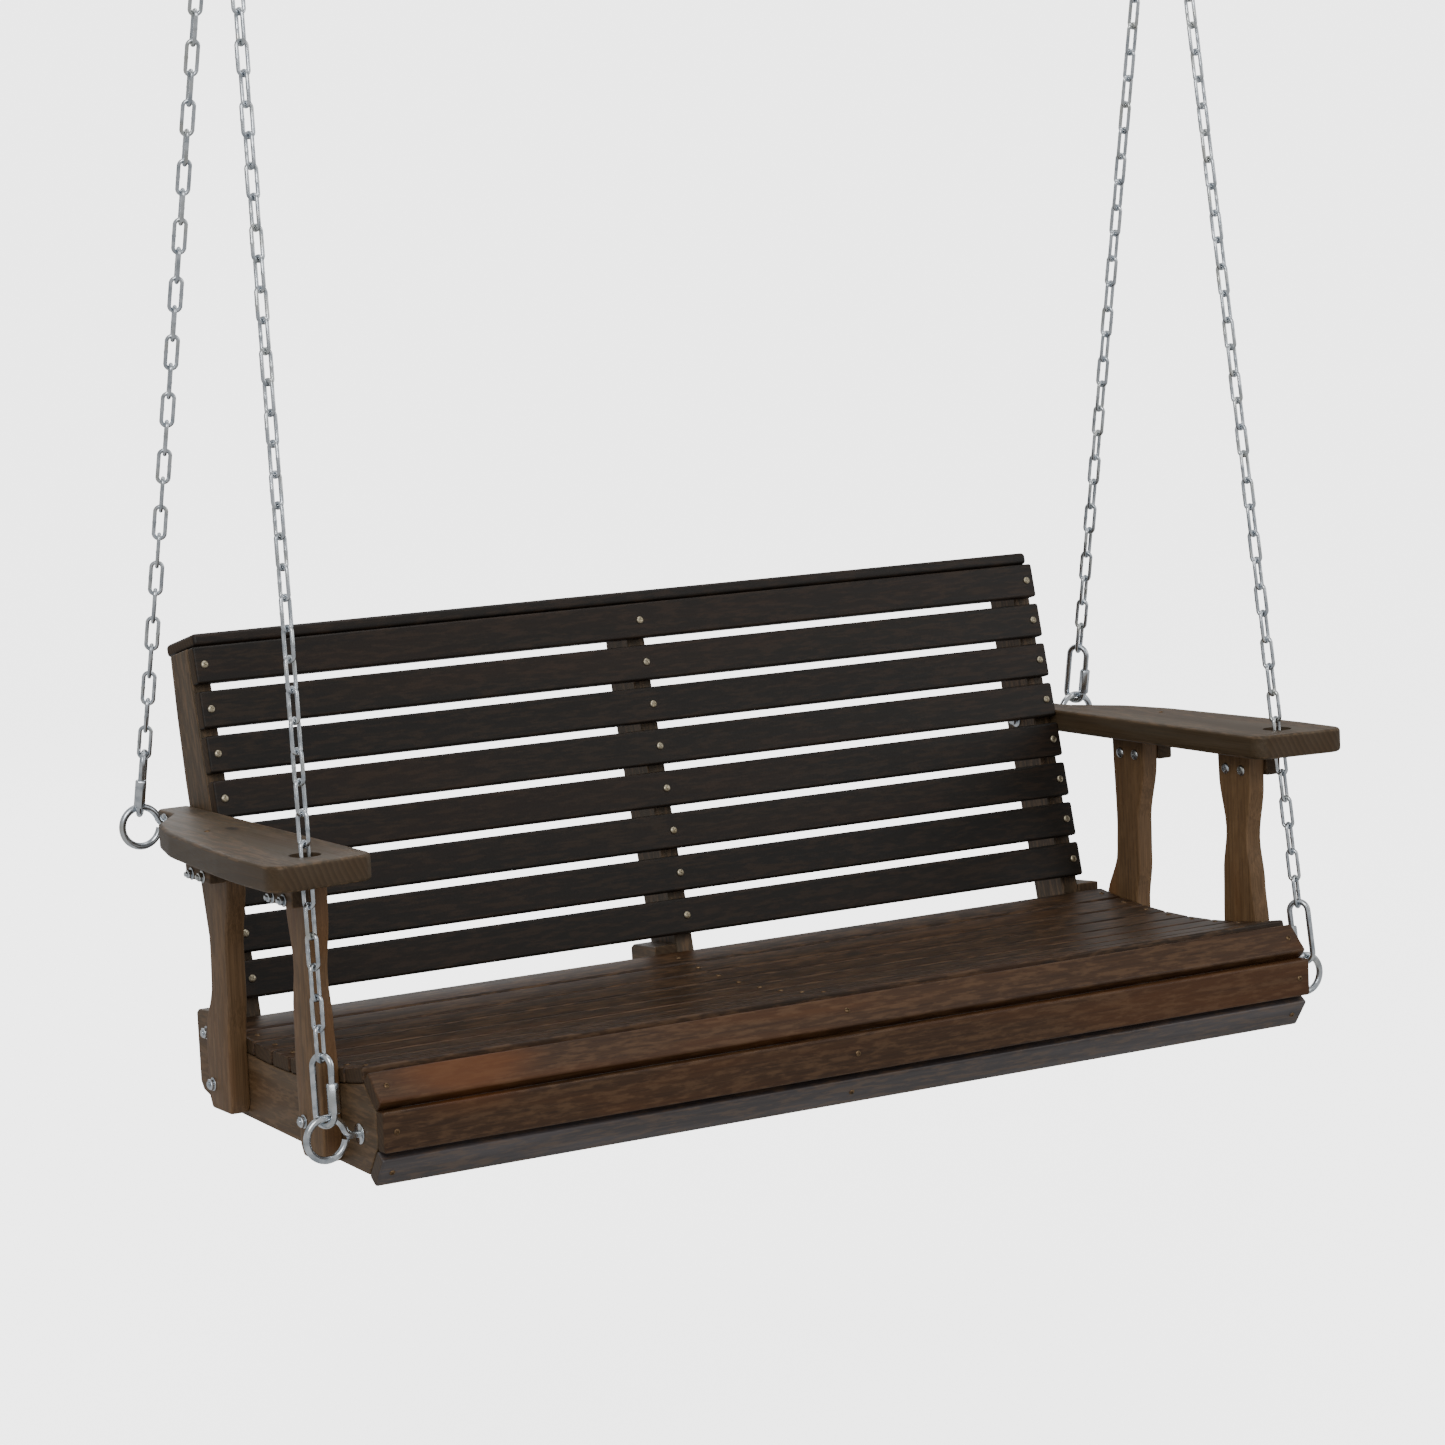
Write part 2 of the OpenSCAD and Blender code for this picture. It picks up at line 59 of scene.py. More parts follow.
# Sizes are millimetres in the bench's own frame, before it hangs; angles are radians.
HANG_TILT = math.radians(3.9)
HANG_Y, HANG_HEIGHT, RING_Z = -297.0, 1593.0, -97.5
HANGER_X, PIN_Z = 640.0, -32.0
HALF, STILE_T, SILL_T, SLAT_T, SUPPORT_T = 610.0, 25.0, 32.0, 18.0, 24.0
OUTER_X = HALF + SILL_T
ARM_Z, ARM_T = 317.0, 30.0
EYE_FRONT, EYE_REAR = (683.0, -463.0, 35.0), (684.0, 19.0, 332.0)
EYE_R, EYE_WIRE = 23.6, 8.5
BACK_ANGLE = math.radians(13)
BACK_PIVOT_Z = 520.0
CLEAT = (22.0, 71.0, 30.0)
SLACK = 0.3
THREAD_PITCH = 1.25
WELD_SWELL = 1.13
SMOOTH_ANGLE = math.radians(50)
HEXAGON_SHARP = 0.9
GOLDEN = 0.618034
RING_PERIOD_MM = 314.0


class Side(Enum):
    """Which end of the bench a piece is on."""

    LEFT = -1
    RIGHT = 1

    @property
    def word(self) -> str:
        """The side's name as the nodes spell it."""
        return self.name.lower()

    def mirror(self) -> Matrix:
        """The matrix that takes a right-hand piece to this side."""
        return Matrix.Diagonal((float(self.value), 1, 1, 1))


class Grain(Enum):
    """Direction of the wood fibre in the hung bench, as turns that bring it to X."""

    ALONG_BENCH = (0.0, 0.0, 0.0)
    FRONT_TO_BACK = (0.0, 0.0, -math.pi / 2)
    UPRIGHT = (0.0, math.pi / 2, 0.0)


# ---------------- helpers


def linear(code: str) -> tuple[float, float, float, float]:
    """Turns an sRGB hex colour to linear light.

    Args:
        code: the colour as "#rrggbb".

    Returns:
        Red, green, blue and alpha.
    """
    def one(v: float) -> float:
        """One channel from sRGB to linear."""
        return v / 12.92 if v <= 0.04045 else ((v + 0.055) / 1.055) ** 2.4
    r, g, b = (one(int(code[i:i + 2], 16) / 255) for i in (1, 3, 5))
    return (r, g, b, 1.0)


class NodeKit:
    """The node tree of a new material, with short ways to add to it."""

    def __init__(self, name: str) -> None:
        """Makes the material and empties its tree."""
        self.material = bpy.data.materials.new(name)
        self.material.use_nodes = True
        self.tree = self.material.node_tree
        self.tree.nodes.clear()

    def add(self, kind: str, settings: dict | None = None,
            inputs: dict | None = None) -> bpy.types.Node:
        """Adds a node with its settings and its values or links.

        Args:
            kind: the node's type name after "ShaderNode".
            settings: attributes to set on the node.
            inputs: input name or number to a value or to an output socket.

        Returns:
            The new node.
        """
        made = self.tree.nodes.new("ShaderNode" + kind)
        for key, value in (settings or {}).items():
            setattr(made, key, value)
        for key, value in (inputs or {}).items():
            if isinstance(value, Socket):
                self.tree.links.new(value, made.inputs[key])
            else:
                made.inputs[key].default_value = value
        return made

    def vector(self, kind: str, a: object, b: object, key: object = 1) -> Socket:
        """One sum on vectors; the key says which input takes the second value."""
        return self.add("VectorMath", {"operation": kind}, {0: a, key: b}).outputs[0]

    def maths(self, kind: str, a: object, b: object = 0.0) -> Socket:
        """One sum on numbers."""
        return self.add("Math", {"operation": kind}, {0: a, 1: b}).outputs[0]

    def times(self, a: object, b: object) -> Socket:
        """The product of two numbers."""
        return self.maths("MULTIPLY", a, b)

    def plus(self, a: object, b: object) -> Socket:
        """The sum of two numbers."""
        return self.maths("ADD", a, b)

    def mix(self, share: object, a: object, b: object) -> Socket:
        """Two colours mixed by a share."""
        return self.add("Mix", {"data_type": "RGBA"}, {0: share, 6: a, 7: b}).outputs[2]

    def noise(self, vector: Socket, detail: float = 3.0, rough: float = 0.55,
              scale: float = 1.0) -> Socket:
        """Noise with one feature per unit of its vector, at scale 1."""
        return self.add("TexNoise", None, {"Vector": vector, "Scale": scale, "Detail": detail,
                                           "Roughness": rough}).outputs["Fac"]

    def band(self, value: Socket, lo: float, hi: float, to_lo: float = 0.0,
             to_hi: float = 1.0, kind: str = "SMOOTHSTEP") -> Socket:
        """The value spread from lo..hi to to_lo..to_hi, clamped."""
        return self.add("MapRange", {"interpolation_type": kind}, {
            "Value": value, "From Min": lo, "From Max": hi, "To Min": to_lo,
            "To Max": to_hi}).outputs[0]

    def finish(self, looks: dict, height: Socket, strength: float, deep: float) -> Material:
        """Adds the surface, its bump and the output.

        Args:
            looks: the surface's inputs.
            height: the bump's height.
            strength: the bump's strength.
            deep: the bump's distance in metres.

        Returns:
            The material.
        """
        bump = self.add("Bump", None, {"Height": height, "Strength": strength,
                                       "Distance": deep}).outputs[0]
        surface = self.add("BsdfPrincipled", None, {**looks, "Normal": bump})
        self.add("OutputMaterial", None, {"Surface": surface.outputs[0]})
        return self.material


def clear() -> None:
    """Deselects everything."""
    for other in list(bpy.context.selected_objects):
        other.select_set(False)


def pick(obj: Object) -> Object:
    """Selects one object alone and makes it active."""
    clear()
    obj.select_set(True)
    bpy.context.view_layer.objects.active = obj
    return obj


def fresh(name: str) -> Object:
    """Names the primitive that was just added, and picks it."""
    obj = pick(bpy.context.active_object)
    obj.name = name
    obj.data.name = name
    return obj


def primitive(name: str, maker: Callable, **settings: object) -> Object:
    """Adds a primitive with nothing else selected, names it and picks it."""
    clear()
    maker(**settings)
    return fresh(name)


class Editing:
    """Edit mode on one object, left again at the end of the block."""

    def __init__(self, obj: Object, mode: str = "VERT") -> None:
        """Keeps the object and the select mode."""
        self.obj, self.mode = obj, mode

    def __enter__(self) -> Object:
        """Enters edit mode with everything selected."""
        pick(self.obj)
        bpy.ops.object.mode_set(mode="EDIT")
        bpy.ops.mesh.select_mode(type=self.mode)
        bpy.ops.mesh.select_all(action="SELECT")
        return self.obj

    def __exit__(self, kind: type | None, value: BaseException | None,
                 trace: TracebackType | None) -> None:
        """Leaves edit mode."""
        bpy.ops.object.mode_set(mode="OBJECT")


def scaled(matrix: Matrix) -> Matrix:
    """A matrix whose shift is in millimetres, with the shift in metres."""
    out = matrix.copy()
    out.translation = matrix.translation * MM
    return out


def place(obj: Object, matrix: Matrix) -> Object:
    """Moves a mesh by its vertices, so that the object stays at the origin.

    Args:
        obj: the piece.
        matrix: where it goes, with a shift in millimetres.

    Returns:
        The same piece.
    """
    obj.data.transform(scaled(matrix))
    if matrix.determinant() < 0:
        obj.data.flip_normals()
    obj.data.update()
    return obj


def shift(x: float, y: float, z: float) -> Matrix:
    """A shift in millimetres."""
    return Matrix.Translation((x, y, z))


def turn(angle: float, axis: str) -> Matrix:
    """A turn about a row axis, in radians."""
    return Matrix.Rotation(angle, 4, axis)


BENCH = shift(0, 0, RING_Z) @ turn(-HANG_TILT, "X") @ shift(0, -HANG_Y, -HANG_HEIGHT)
BACK = BENCH @ shift(0, 0, BACK_PIVOT_Z) @ turn(-BACK_ANGLE, "X")
ALONG_X = turn(math.pi / 2, "Y")
SWEEP_X = Matrix(((0, 0, 1, 0), (1, 0, 0, 0), (0, 1, 0, 0), (0, 0, 0, 1)))


def set_number(obj: Object, name: str, values: list[float]) -> None:
    """Stores one number per vertex under a name that materials can read."""
    data = obj.data.attributes.get(name) or obj.data.attributes.new(name, "FLOAT", "POINT")
    data.data.foreach_set("value", values)


def soften(obj: Object, radius: float, segments: int = 3,
           sharpness: float = 0.6) -> None:
    """Rounds the sharp edges, and marks the rounded strip as worn.

    Args:
        obj: the piece.
        radius: rounding radius in millimetres.
        segments: faces across the rounding.
        sharpness: smallest angle in radians of an edge that is rounded.
    """
    with Editing(obj, "EDGE"):
        bpy.ops.mesh.select_all(action="DESELECT")
        bpy.ops.mesh.edges_select_sharp(sharpness=sharpness)
        bpy.ops.mesh.bevel(offset=radius * MM, segments=segments, profile=0.5,
                           affect="EDGES", clamp_overlap=True)
        bpy.ops.mesh.select_mode(type="FACE")
    worn = [1.0] * len(obj.data.vertices)
    for face in obj.data.polygons:
        if not face.select:
            for v in face.vertices:
                worn[v] = 0.0
    set_number(obj, "worn", worn)


def ease_corners(obj: Object, offset: float, segments: int) -> Object:
    """Bevels the corners of a hexagon; the offset is in millimetres."""
    with Editing(obj, "EDGE"):
        bpy.ops.mesh.select_all(action="DESELECT")
        bpy.ops.mesh.edges_select_sharp(sharpness=HEXAGON_SHARP)
        bpy.ops.mesh.bevel(offset=offset * MM, segments=segments, affect="EDGES")
    return obj


def smooth(obj: Object, weighted: bool = True) -> Object:
    """Shades the piece smooth, with flat faces kept flat by weighted normals."""
    pick(obj)
    bpy.ops.object.shade_smooth_by_angle(angle=SMOOTH_ANGLE)
    if weighted:
        mod = obj.modifiers.new("weighted", "WEIGHTED_NORMAL")
        mod.keep_sharp = True
        mod.weight = 90
        bpy.ops.object.modifier_apply(modifier=mod.name)
    return obj


def subtract(obj: Object, cutter: Object) -> None:
    """Cuts one solid out of another, and removes the cutter."""
    pick(obj)
    mod = obj.modifiers.new("cut", "BOOLEAN")
    mod.operation, mod.object, mod.solver = "DIFFERENCE", cutter, "EXACT"
    bpy.ops.object.modifier_apply(modifier=mod.name)
    bpy.data.objects.remove(cutter)


def join(name: str, parts: list[Object]) -> Object:
    """Joins pieces into one object."""
    pick(parts[0])
    for p in parts:
        p.select_set(True)
    bpy.ops.object.join()
    return fresh(name)


def copies(name: str, master: Object, places: list[Matrix]) -> Object:
    """Copies a finished shape to several places, and joins the copies.

    Args:
        name: the joined object's name.
        master: the shape, in metres about its own origin; it is removed.
        places: matrices with shifts in millimetres.

    Returns:
        The joined object.
    """
    made = []
    for m in places:
        one = bpy.data.objects.new(name, master.data.copy())
        bpy.context.collection.objects.link(one)
        made.append(place(one, m))
    bpy.data.objects.remove(master)
    return join(name, made)


def solid_from_outline(name: str, outline: list[Flat], depth: float,
                       radius: float, segments: int = 3) -> Object:
    """A board cut to an outline, with rounded rims.

    Args:
        name: the object's name.
        outline: corner points in millimetres, counter-clockwise in local X and Y.
        depth: thickness in millimetres along local Z.
        radius: rounding of the rims in millimetres.
        segments: faces across the rounding.

    Returns:
        The board about its own origin, in metres.
    """
    obj = primitive(name, bpy.ops.mesh.primitive_circle_add, vertices=len(outline), radius=1,
                    fill_type="NGON")
    for v, p in zip(obj.data.vertices, outline):
        v.co = (p[0] * MM, p[1] * MM, 0)
    with Editing(obj):
        bpy.ops.mesh.extrude_region_move(TRANSFORM_OT_translate={"value": (0, 0, depth * MM)})
        bpy.ops.mesh.select_all(action="SELECT")
        bpy.ops.mesh.normals_make_consistent(inside=False)
    soften(obj, radius, segments)
    return obj


def block(name: str, size: Point, radius: float,
          segments: int = 3) -> Object:
    """A planed block with rounded edges, centred on its own origin; sizes in millimetres."""
    obj = primitive(name, bpy.ops.mesh.primitive_cube_add, size=1,
                    scale=[s * MM for s in size])
    bpy.ops.object.transform_apply(location=False, rotation=False, scale=True)
    soften(obj, radius, segments)
    return obj


def lathe(name: str, profile: list[Flat], sides: int = 24) -> Object:
    """A closed turned shape about local Z, made by extruding and scaling a circle.

    Args:
        name: the object's name.
        profile: radius and height pairs in millimetres, from the bottom to the top.
        sides: number of sides.

    Returns:
        The shape about its own origin, in metres.
    """
    obj = primitive(name, bpy.ops.mesh.primitive_circle_add, vertices=sides,
                    radius=profile[0][0] * MM, fill_type="NGON",
                    location=(0, 0, profile[0][1] * MM))
    bpy.ops.object.transform_apply(location=True, rotation=False, scale=False)
    with Editing(obj):
        for (r0, z0), (r1, z1) in zip(profile, profile[1:]):
            bpy.ops.mesh.extrude_region_move(
                TRANSFORM_OT_translate={"value": (0, 0, (z1 - z0) * MM)})
            bpy.ops.transform.resize(value=(r1 / r0, r1 / r0, 1),
                                     center_override=(0, 0, z1 * MM))
        bpy.ops.mesh.select_all(action="SELECT")
        bpy.ops.mesh.normals_make_consistent(inside=False)
    return obj


def wire(name: str, path: list[Point], radius: float, closed: bool = False,
         sides: int = 3) -> Object:
    """Round wire bent along a path, in millimetres, turned into a closed mesh."""
    curve = bpy.data.curves.new(name, "CURVE")
    curve.dimensions = "3D"
    curve.bevel_depth, curve.bevel_resolution, curve.use_fill_caps = radius * MM, sides, True
    line = curve.splines.new("POLY")
    line.points.add(len(path) - 1)
    for point, p in zip(line.points, path):
        point.co = (p[0] * MM, p[1] * MM, p[2] * MM, 1)
    line.use_cyclic_u = closed
    obj = bpy.data.objects.new(name, curve)
    bpy.context.collection.objects.link(obj)
    pick(obj)
    bpy.ops.object.convert(target="MESH")
    obj = fresh(name)
    with Editing(obj):
        bpy.ops.mesh.remove_doubles(threshold=1e-6)
        bpy.ops.mesh.normals_make_consistent(inside=False)
    return obj


def arc(cx: float, cy: float, r: float, a0: float, a1: float, n: int) -> list[Flat]:
    """Points on an arc; angles in degrees."""
    steps = [math.radians(a0 + (a1 - a0) * i / n) for i in range(n + 1)]
    return [(cx + r * math.cos(a), cy + r * math.sin(a)) for a in steps]


# ---------------- finishes


@dataclass(frozen=True)
class StainedPine:
    """Planed pine under a walnut stain: soft sheen, dark fibre, pale edges where it is rubbed."""

    name: str
    dark: str
    light: str
    warm: str
    worn: str = "#7d6247"
    grain: Grain = Grain.ALONG_BENCH
    lean: float = 0.0
    warm_share: float = 0.5
    wear: float = 0.5
    rough: float = 0.5
    grey: str = "#6c675d"
    grey_share: float = 0.0
    ring_mm: float = 7.0
    fibre_mm: float = 1.6
    gloss: float = 0.35
    patch_at: Point = (0.0, 0.0, 0.0)
    patch_mm: float = 0.0
    patch_colour: str = "#6e3d14"
    knot_colour: str = "#1a120c"
    end_dark: str = "#3f3020"
    end_light: str = "#4a3a28"

    def build(self) -> Material:
        """Makes the material."""
        kit = NodeKit(self.name)
        band, mix, noise = kit.band, kit.mix, kit.noise
        times, plus = kit.times, kit.plus
        turns = (self.grain.value[0] + self.lean, *self.grain.value[1:])
        coord = kit.add("TexCoord").outputs
        base, normal = (kit.add("Mapping", {"vector_type": "POINT"},
                                {"Vector": coord[word], "Rotation": turns}).outputs[0]
                        for word in ("Object", "Normal"))
        tone, worn = (kit.add("Attribute", {"attribute_name": word}).outputs["Fac"]
                      for word in ("tone", "worn"))
        # The tone also moves each board to its own place in the grain.
        spot = kit.vector("ADD", base, kit.vector("SCALE", (3.7, 2.9, 1.3), tone, "Scale"))

        def stretched(across_mm: float, along_mm: float) -> Socket:
            """Coordinates in which one unit is a real size across and along the grain."""
            across = 1000 / across_mm
            return kit.vector("MULTIPLY", spot, (1000 / along_mm, across, across))

        # A knot every few hundred millimetres; the rings flow round it.
        cell = kit.add("TexVoronoi", None, {"Vector": stretched(150, 330), "Scale": 1.0,
                                            "Randomness": 0.9}).outputs
        chosen = band(kit.add("SeparateColor", None, {0: cell["Color"]}).outputs[0], 0.5, 0.52)
        near = times(band(cell["Distance"], 0.16, 0.0), chosen)
        knot = times(band(cell["Distance"], 0.062, 0.035), chosen)
        wobble = noise(stretched(45, 420), 2.0)
        push = plus(times(wobble, 0.012), times(near, 0.02))
        swayed = kit.vector("ADD", spot,
                            kit.add("CombineXYZ", None, {1: push, 2: push}).outputs[0])
        # Growth rings about the fibre's direction, drawn out along it.
        rings = kit.add("TexWave", {
            "wave_type": "RINGS", "rings_direction": "X", "wave_profile": "SAW"}, {
            "Vector": kit.vector("MULTIPLY", swayed, (0.05, 1.0, 1.0)),
            "Scale": RING_PERIOD_MM / self.ring_mm, "Distortion": 1.2, "Detail": 2.0,
            "Detail Scale": 0.6}).outputs["Fac"]
        fibre = noise(stretched(self.fibre_mm, 240), 3.0, 0.5)
        pores = noise(stretched(0.7, 70), 2.0, 0.5)
        patch = noise(stretched(60, 560), 3.0)
        cloud = noise(stretched(26, 300), 3.0, 0.5)

        depth = plus(times(band(rings, 0.25, 1.0), 0.3),
                      times(band(fibre, 0.3, 0.72), 0.66))
        colour = mix(depth, linear(self.dark), linear(self.light))
        colour = mix(times(band(patch, 0.46, 0.66), self.warm_share),
                     colour, linear(self.warm))
        colour = mix(times(band(cloud, 0.4, 0.62), self.grey_share),
                     colour, linear(self.grey))
        shade = plus(times(tone, 0.34), 0.80)
        shade = times(shade, band(cloud, 0.25, 0.75, 0.9, 1.08))
        shade = times(shade, band(pores, 0.32, 0.5, 0.8, 1.0))
        colour = kit.vector("SCALE", colour, shade, "Scale")
        flecks = band(noise(stretched(6, 34), 4.0, 0.65), 0.45, 0.62)
        rubbed = times(times(band(worn, 0.2, 0.95), flecks), self.wear)
        colour = mix(rubbed, colour, linear(self.worn))
        colour = mix(times(knot, 0.85), colour, linear(self.knot_colour))
        if self.patch_mm:
            long_way = Vector((0.45, 1, 1))
            middle = BENCH @ Vector(self.patch_at) * MM * long_way
            away = kit.add("VectorMath", {"operation": "DISTANCE"}, {
                0: kit.vector("MULTIPLY", coord["Object"], long_way), 1: middle})
            reach = plus(times(away.outputs["Value"], 1000 / self.patch_mm),
                          times(cloud, 0.8))
            colour = mix(band(reach, 1.4, 0.6, 0.0, 0.6), colour, linear(self.patch_colour))
        # End grain drinks more stain and shows the rings as arcs.
        along = kit.add("SeparateXYZ", None, {0: normal}).outputs[0]
        ends = band(kit.maths("ABSOLUTE", along), 0.8, 0.93)
        sawn = mix(band(rings, 0.2, 0.9), linear(self.end_dark), linear(self.end_light))
        colour = mix(times(ends, 0.8), colour, sawn)
        rough = plus(times(fibre, 0.22),
                      plus(times(ends, 0.2), self.rough - 0.1))
        height = plus(times(fibre, 0.7), times(rings, 0.2))
        height = plus(height, times(pores, 0.35))
        return kit.finish({"Base Color": colour, "Roughness": rough, "IOR": 1.48,
                           "Specular IOR Level": self.gloss}, height, 0.4, 0.00012)


@dataclass(frozen=True)
class ZincPlate:
    """Zinc plated steel wire and pressings: cool bright metal, faintly cloudy, dulled in spots."""

    name: str
    bright: str = "#c9d0d6"
    dull: str = "#8e979f"
    tint: str = "#c2bfae"
    rough: float = 0.26
    cloud_mm: float = 9.0
    wide_mm: float = 26.0
    fine_mm: float = 1.1

    def build(self) -> Material:
        """Makes the material."""
        kit = NodeKit(self.name)
        spot = kit.add("TexCoord").outputs["Object"]
        cloud, wide, fine = (kit.noise(spot, detail, 0.5, 1000 / size) for size, detail in (
            (self.cloud_mm, 3), (self.wide_mm, 2), (self.fine_mm, 2)))
        colour = kit.mix(kit.band(cloud, 0.38, 0.66, 0, 0.75, "LINEAR"), linear(self.bright),
                         linear(self.dull))
        colour = kit.mix(kit.band(wide, 0.5, 0.7, 0, 0.5, "LINEAR"), colour, linear(self.tint))
        rough = kit.band(cloud, 0.3, 0.7, self.rough - 0.06, self.rough + 0.16, "LINEAR")
        return kit.finish({"Base Color": colour, "Metallic": 1.0, "Roughness": rough}, fine,
                          0.18, 0.0002)


@dataclass(frozen=True)
class Backdrop:
    """Matt white studio paper with a light behind it."""

    name: str = "pale_paper"
    colour: str = "#f4f4f4"
    glow: float = 3.2

    def build(self) -> Material:
        """Makes the material."""
        mat = bpy.data.materials.new(self.name)
        mat.use_nodes = True
        shader = mat.node_tree.nodes["Principled BSDF"]
        for name, value in (("Base Color", linear(self.colour)), ("Roughness", 0.9),
                            ("Emission Color", WHITE), ("Emission Strength", self.glow)):
            shader.inputs[name].default_value = value
        return mat


def dress(obj: Object, material: Material, body: str, nodes: list[str],
          tone: float = 0.5) -> Object:
    """Gives a finished piece its material, tone, body and nodes.

    Args:
        obj: the piece, in place.
        material: its finish.
        body: the body it rides on.
        nodes: the nodes it stands for.
        tone: from 0 dark to 1 light, and the start of its own grain pattern.

    Returns:
        The same piece.
    """
    obj.data.materials.clear()
    obj.data.materials.append(material)
    set_number(obj, "tone", [tone] * len(obj.data.vertices))
    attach(obj, body)
    if nodes:
        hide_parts(*nodes)
    log.info("%s on %s, %d faces", obj.name, body, len(obj.data.polygons))
    return obj


def tone_of(number: int) -> float:
    """A repeatable spread of tones over the boards."""
    return (number * GOLDEN + 0.13) % 1.0


def fit_board(obj: Object, matrix: Matrix, material: Material, node: str,
              tone: float) -> None:
    """Smooths a board, puts it in its place in the bench and dresses it."""
    place(smooth(obj), matrix)
    dress(obj, material, "bench", [node], tone)


# ---------------- timber


@dataclass
class Back:
    """Eight slats on three stiles, under a rounded cap rail."""

    count: int = 8
    pitch: float = 54.2
    width: float = 45.0
    length: float = 1220.0
    cap_front: float = 4.0
    cap_back: float = 93.0
    cap_t: float = 16.0
    tones: tuple[float, ...] = (0.35, 0.62, 0.18, 0.72, 0.3, 0.55, 0.1, 0.4)

    def slats(self, material: Material) -> None:
        """Makes the slats, each with its own tone."""
        for k in range(self.count):
            obj = block(f"back_board_{k + 1}", (self.length, SLAT_T, self.width), 3.4)
            fit_board(obj, BACK @ shift(0, SLAT_T / 2, -k * self.pitch), material,
                      f"back_slat_{k + 1}", self.tones[k])

    def cap(self, material: Material) -> None:
        """Makes the cap rail."""
        obj = block("cap_board", (self.length - 8, self.cap_back - self.cap_front, self.cap_t),
                    5.6, 5)
        middle = (self.cap_front + self.cap_back) / 2
        fit_board(obj, BACK @ shift(0, middle, 23 + self.cap_t / 2), material, "cap_rail",
                  0.25)

    def stiles(self, material: Material) -> None:
        """Makes the three stiles, with their feet cut level."""
        cosine, sine = math.cos(BACK_ANGLE), math.sin(BACK_ANGLE)

        def foot(depth: float) -> float:
            """Local height at which the level cut meets a depth in the stile."""
            return (12 - BACK_PIVOT_Z + depth * sine) / cosine
        outline = [(18, foot(18)), (84, foot(84)), (84, -130), (80, -50), (73, 22.9), (18, 22.9)]
        for number, (word, x) in enumerate((("left", -HALF), ("centre", -STILE_T / 2),
                                            ("right", HALF - STILE_T))):
            obj = solid_from_outline(f"stile_board_{word}", outline, STILE_T, 2.2)
            fit_board(obj, BACK @ shift(x, 0, 0) @ SWEEP_X, material, f"stile_{word}",
                      tone_of(number + 3))


@dataclass
class Seat:
    """Three shaped side boards under a hollow seat and a faceted front."""

    rear: Flat = (-83.0, 106.0)
    front: Flat = (-477.0, 112.0)
    sag: float = 17.0
    count: int = 8
    gap: float = 3.0
    tones: tuple[float, ...] = (0.3, 0.5, 0.2, 0.65, 0.45, 0.75, 0.35, 0.6)
    faces: dict[str, tuple[Flat, Flat]] = field(
        default_factory=lambda: {"top": ((-489.5, 108.4), (-519, 78.5)),
                                 "middle": ((-524.5, 68), (-524.5, 22)),
                                 "bottom": ((-518.05, 12.47), (-494.5, -20.5))})

    def __post_init__(self) -> None:
        """Works out the arc of the hollow."""
        chord = math.dist(self.rear, self.front)
        self.tilt = math.atan2(self.rear[1] - self.front[1], self.rear[0] - self.front[0])
        self.radius = ((chord / 2) ** 2 + self.sag ** 2) / (2 * self.sag)
        self.half_angle = math.asin(chord / 2 / self.radius)
        lift = self.radius - self.sag
        self.centre = ((self.rear[0] + self.front[0]) / 2 - lift * math.sin(self.tilt),
                       (self.rear[1] + self.front[1]) / 2 + lift * math.cos(self.tilt))
        self.step = 2 * self.half_angle / self.count
        self.width = self.radius * self.step - self.gap

    def slat_place(self, k: int) -> Matrix:
        """Where slat k's top face has its middle; local Z is out of the seat."""
        psi = self.half_angle - (k - 0.5) * self.step + self.tilt
        return (BENCH @ shift(0, *self.centre) @ turn(psi, "X") @ shift(0, 0, -self.radius))

    def face_place(self, word: str) -> Matrix:
        """Where a front slat's outer face has its middle; local Y is into the bench."""
        (y0, z0), (y1, z1) = self.faces[word]
        lean = math.atan2(z0 - z1, y0 - y1) - math.pi / 2
        return BENCH @ shift(0, (y0 + y1) / 2, (z0 + z1) / 2) @ turn(lean, "X")

    def slats(self, material: Material) -> None:
        """Makes the seat slats."""
        for k in range(1, self.count + 1):
            obj = block(f"seat_board_{k}", (2 * OUTER_X, self.width, SLAT_T), 3.2)
            fit_board(obj, self.slat_place(k) @ shift(0, 0, -SLAT_T / 2), material,
                      f"seat_slat_{k}", self.tones[k - 1])

    def front_slats(self, warm: Material, grey_sheen_painted: Material) -> None:
        """Makes the three slats of the front."""
        # The bottom slat gets the stain whose colours hold a painted reflection of the floor.
        for word, material, tone in (("top", warm, 0.7), ("middle", warm, 0.45),
                                     ("bottom", grey_sheen_painted, 0.6)):
            (y0, z0), (y1, z1) = self.faces[word]
            width = math.dist((y0, z0), (y1, z1))
            obj = block(f"front_board_{word}", (2 * OUTER_X, SLAT_T, width), 3.2)
            fit_board(obj, self.face_place(word) @ shift(0, SLAT_T / 2, 0), material,
                      f"front_slat_{word}", tone)

    def sills(self, material: Material) -> None:
        """Makes the side boards, hollowed along the top."""
        under = self.radius + SLAT_T + 0.3

        def hollow(y: float) -> float:
            """Height of the hollow at a depth."""
            return self.centre[1] - math.sqrt(under ** 2 - (y - self.centre[0]) ** 2)
        steps = [-78 - (476.6 - 78) * i / 24 for i in range(25)]
        outline = ([(-22, 12), (-14, 22), (-14, 106), (-20, 110), (-78, 114)]
                   + [(y, hollow(y)) for y in steps]
                   + [(-506.2, 65.6), (-506.4, 28.2), (-479.9, -9), (-78, 3), (-41, 7)])
        for number, (word, x) in enumerate((("left", -OUTER_X), ("centre", -STILE_T / 2 - SILL_T),
                                            ("right", HALF))):
            obj = solid_from_outline(f"sill_board_{word}", outline, SILL_T, 2.0)
            fit_board(obj, BENCH @ shift(x, 0, 0) @ SWEEP_X, material, f"sill_{word}",
                      tone_of(number + 9))


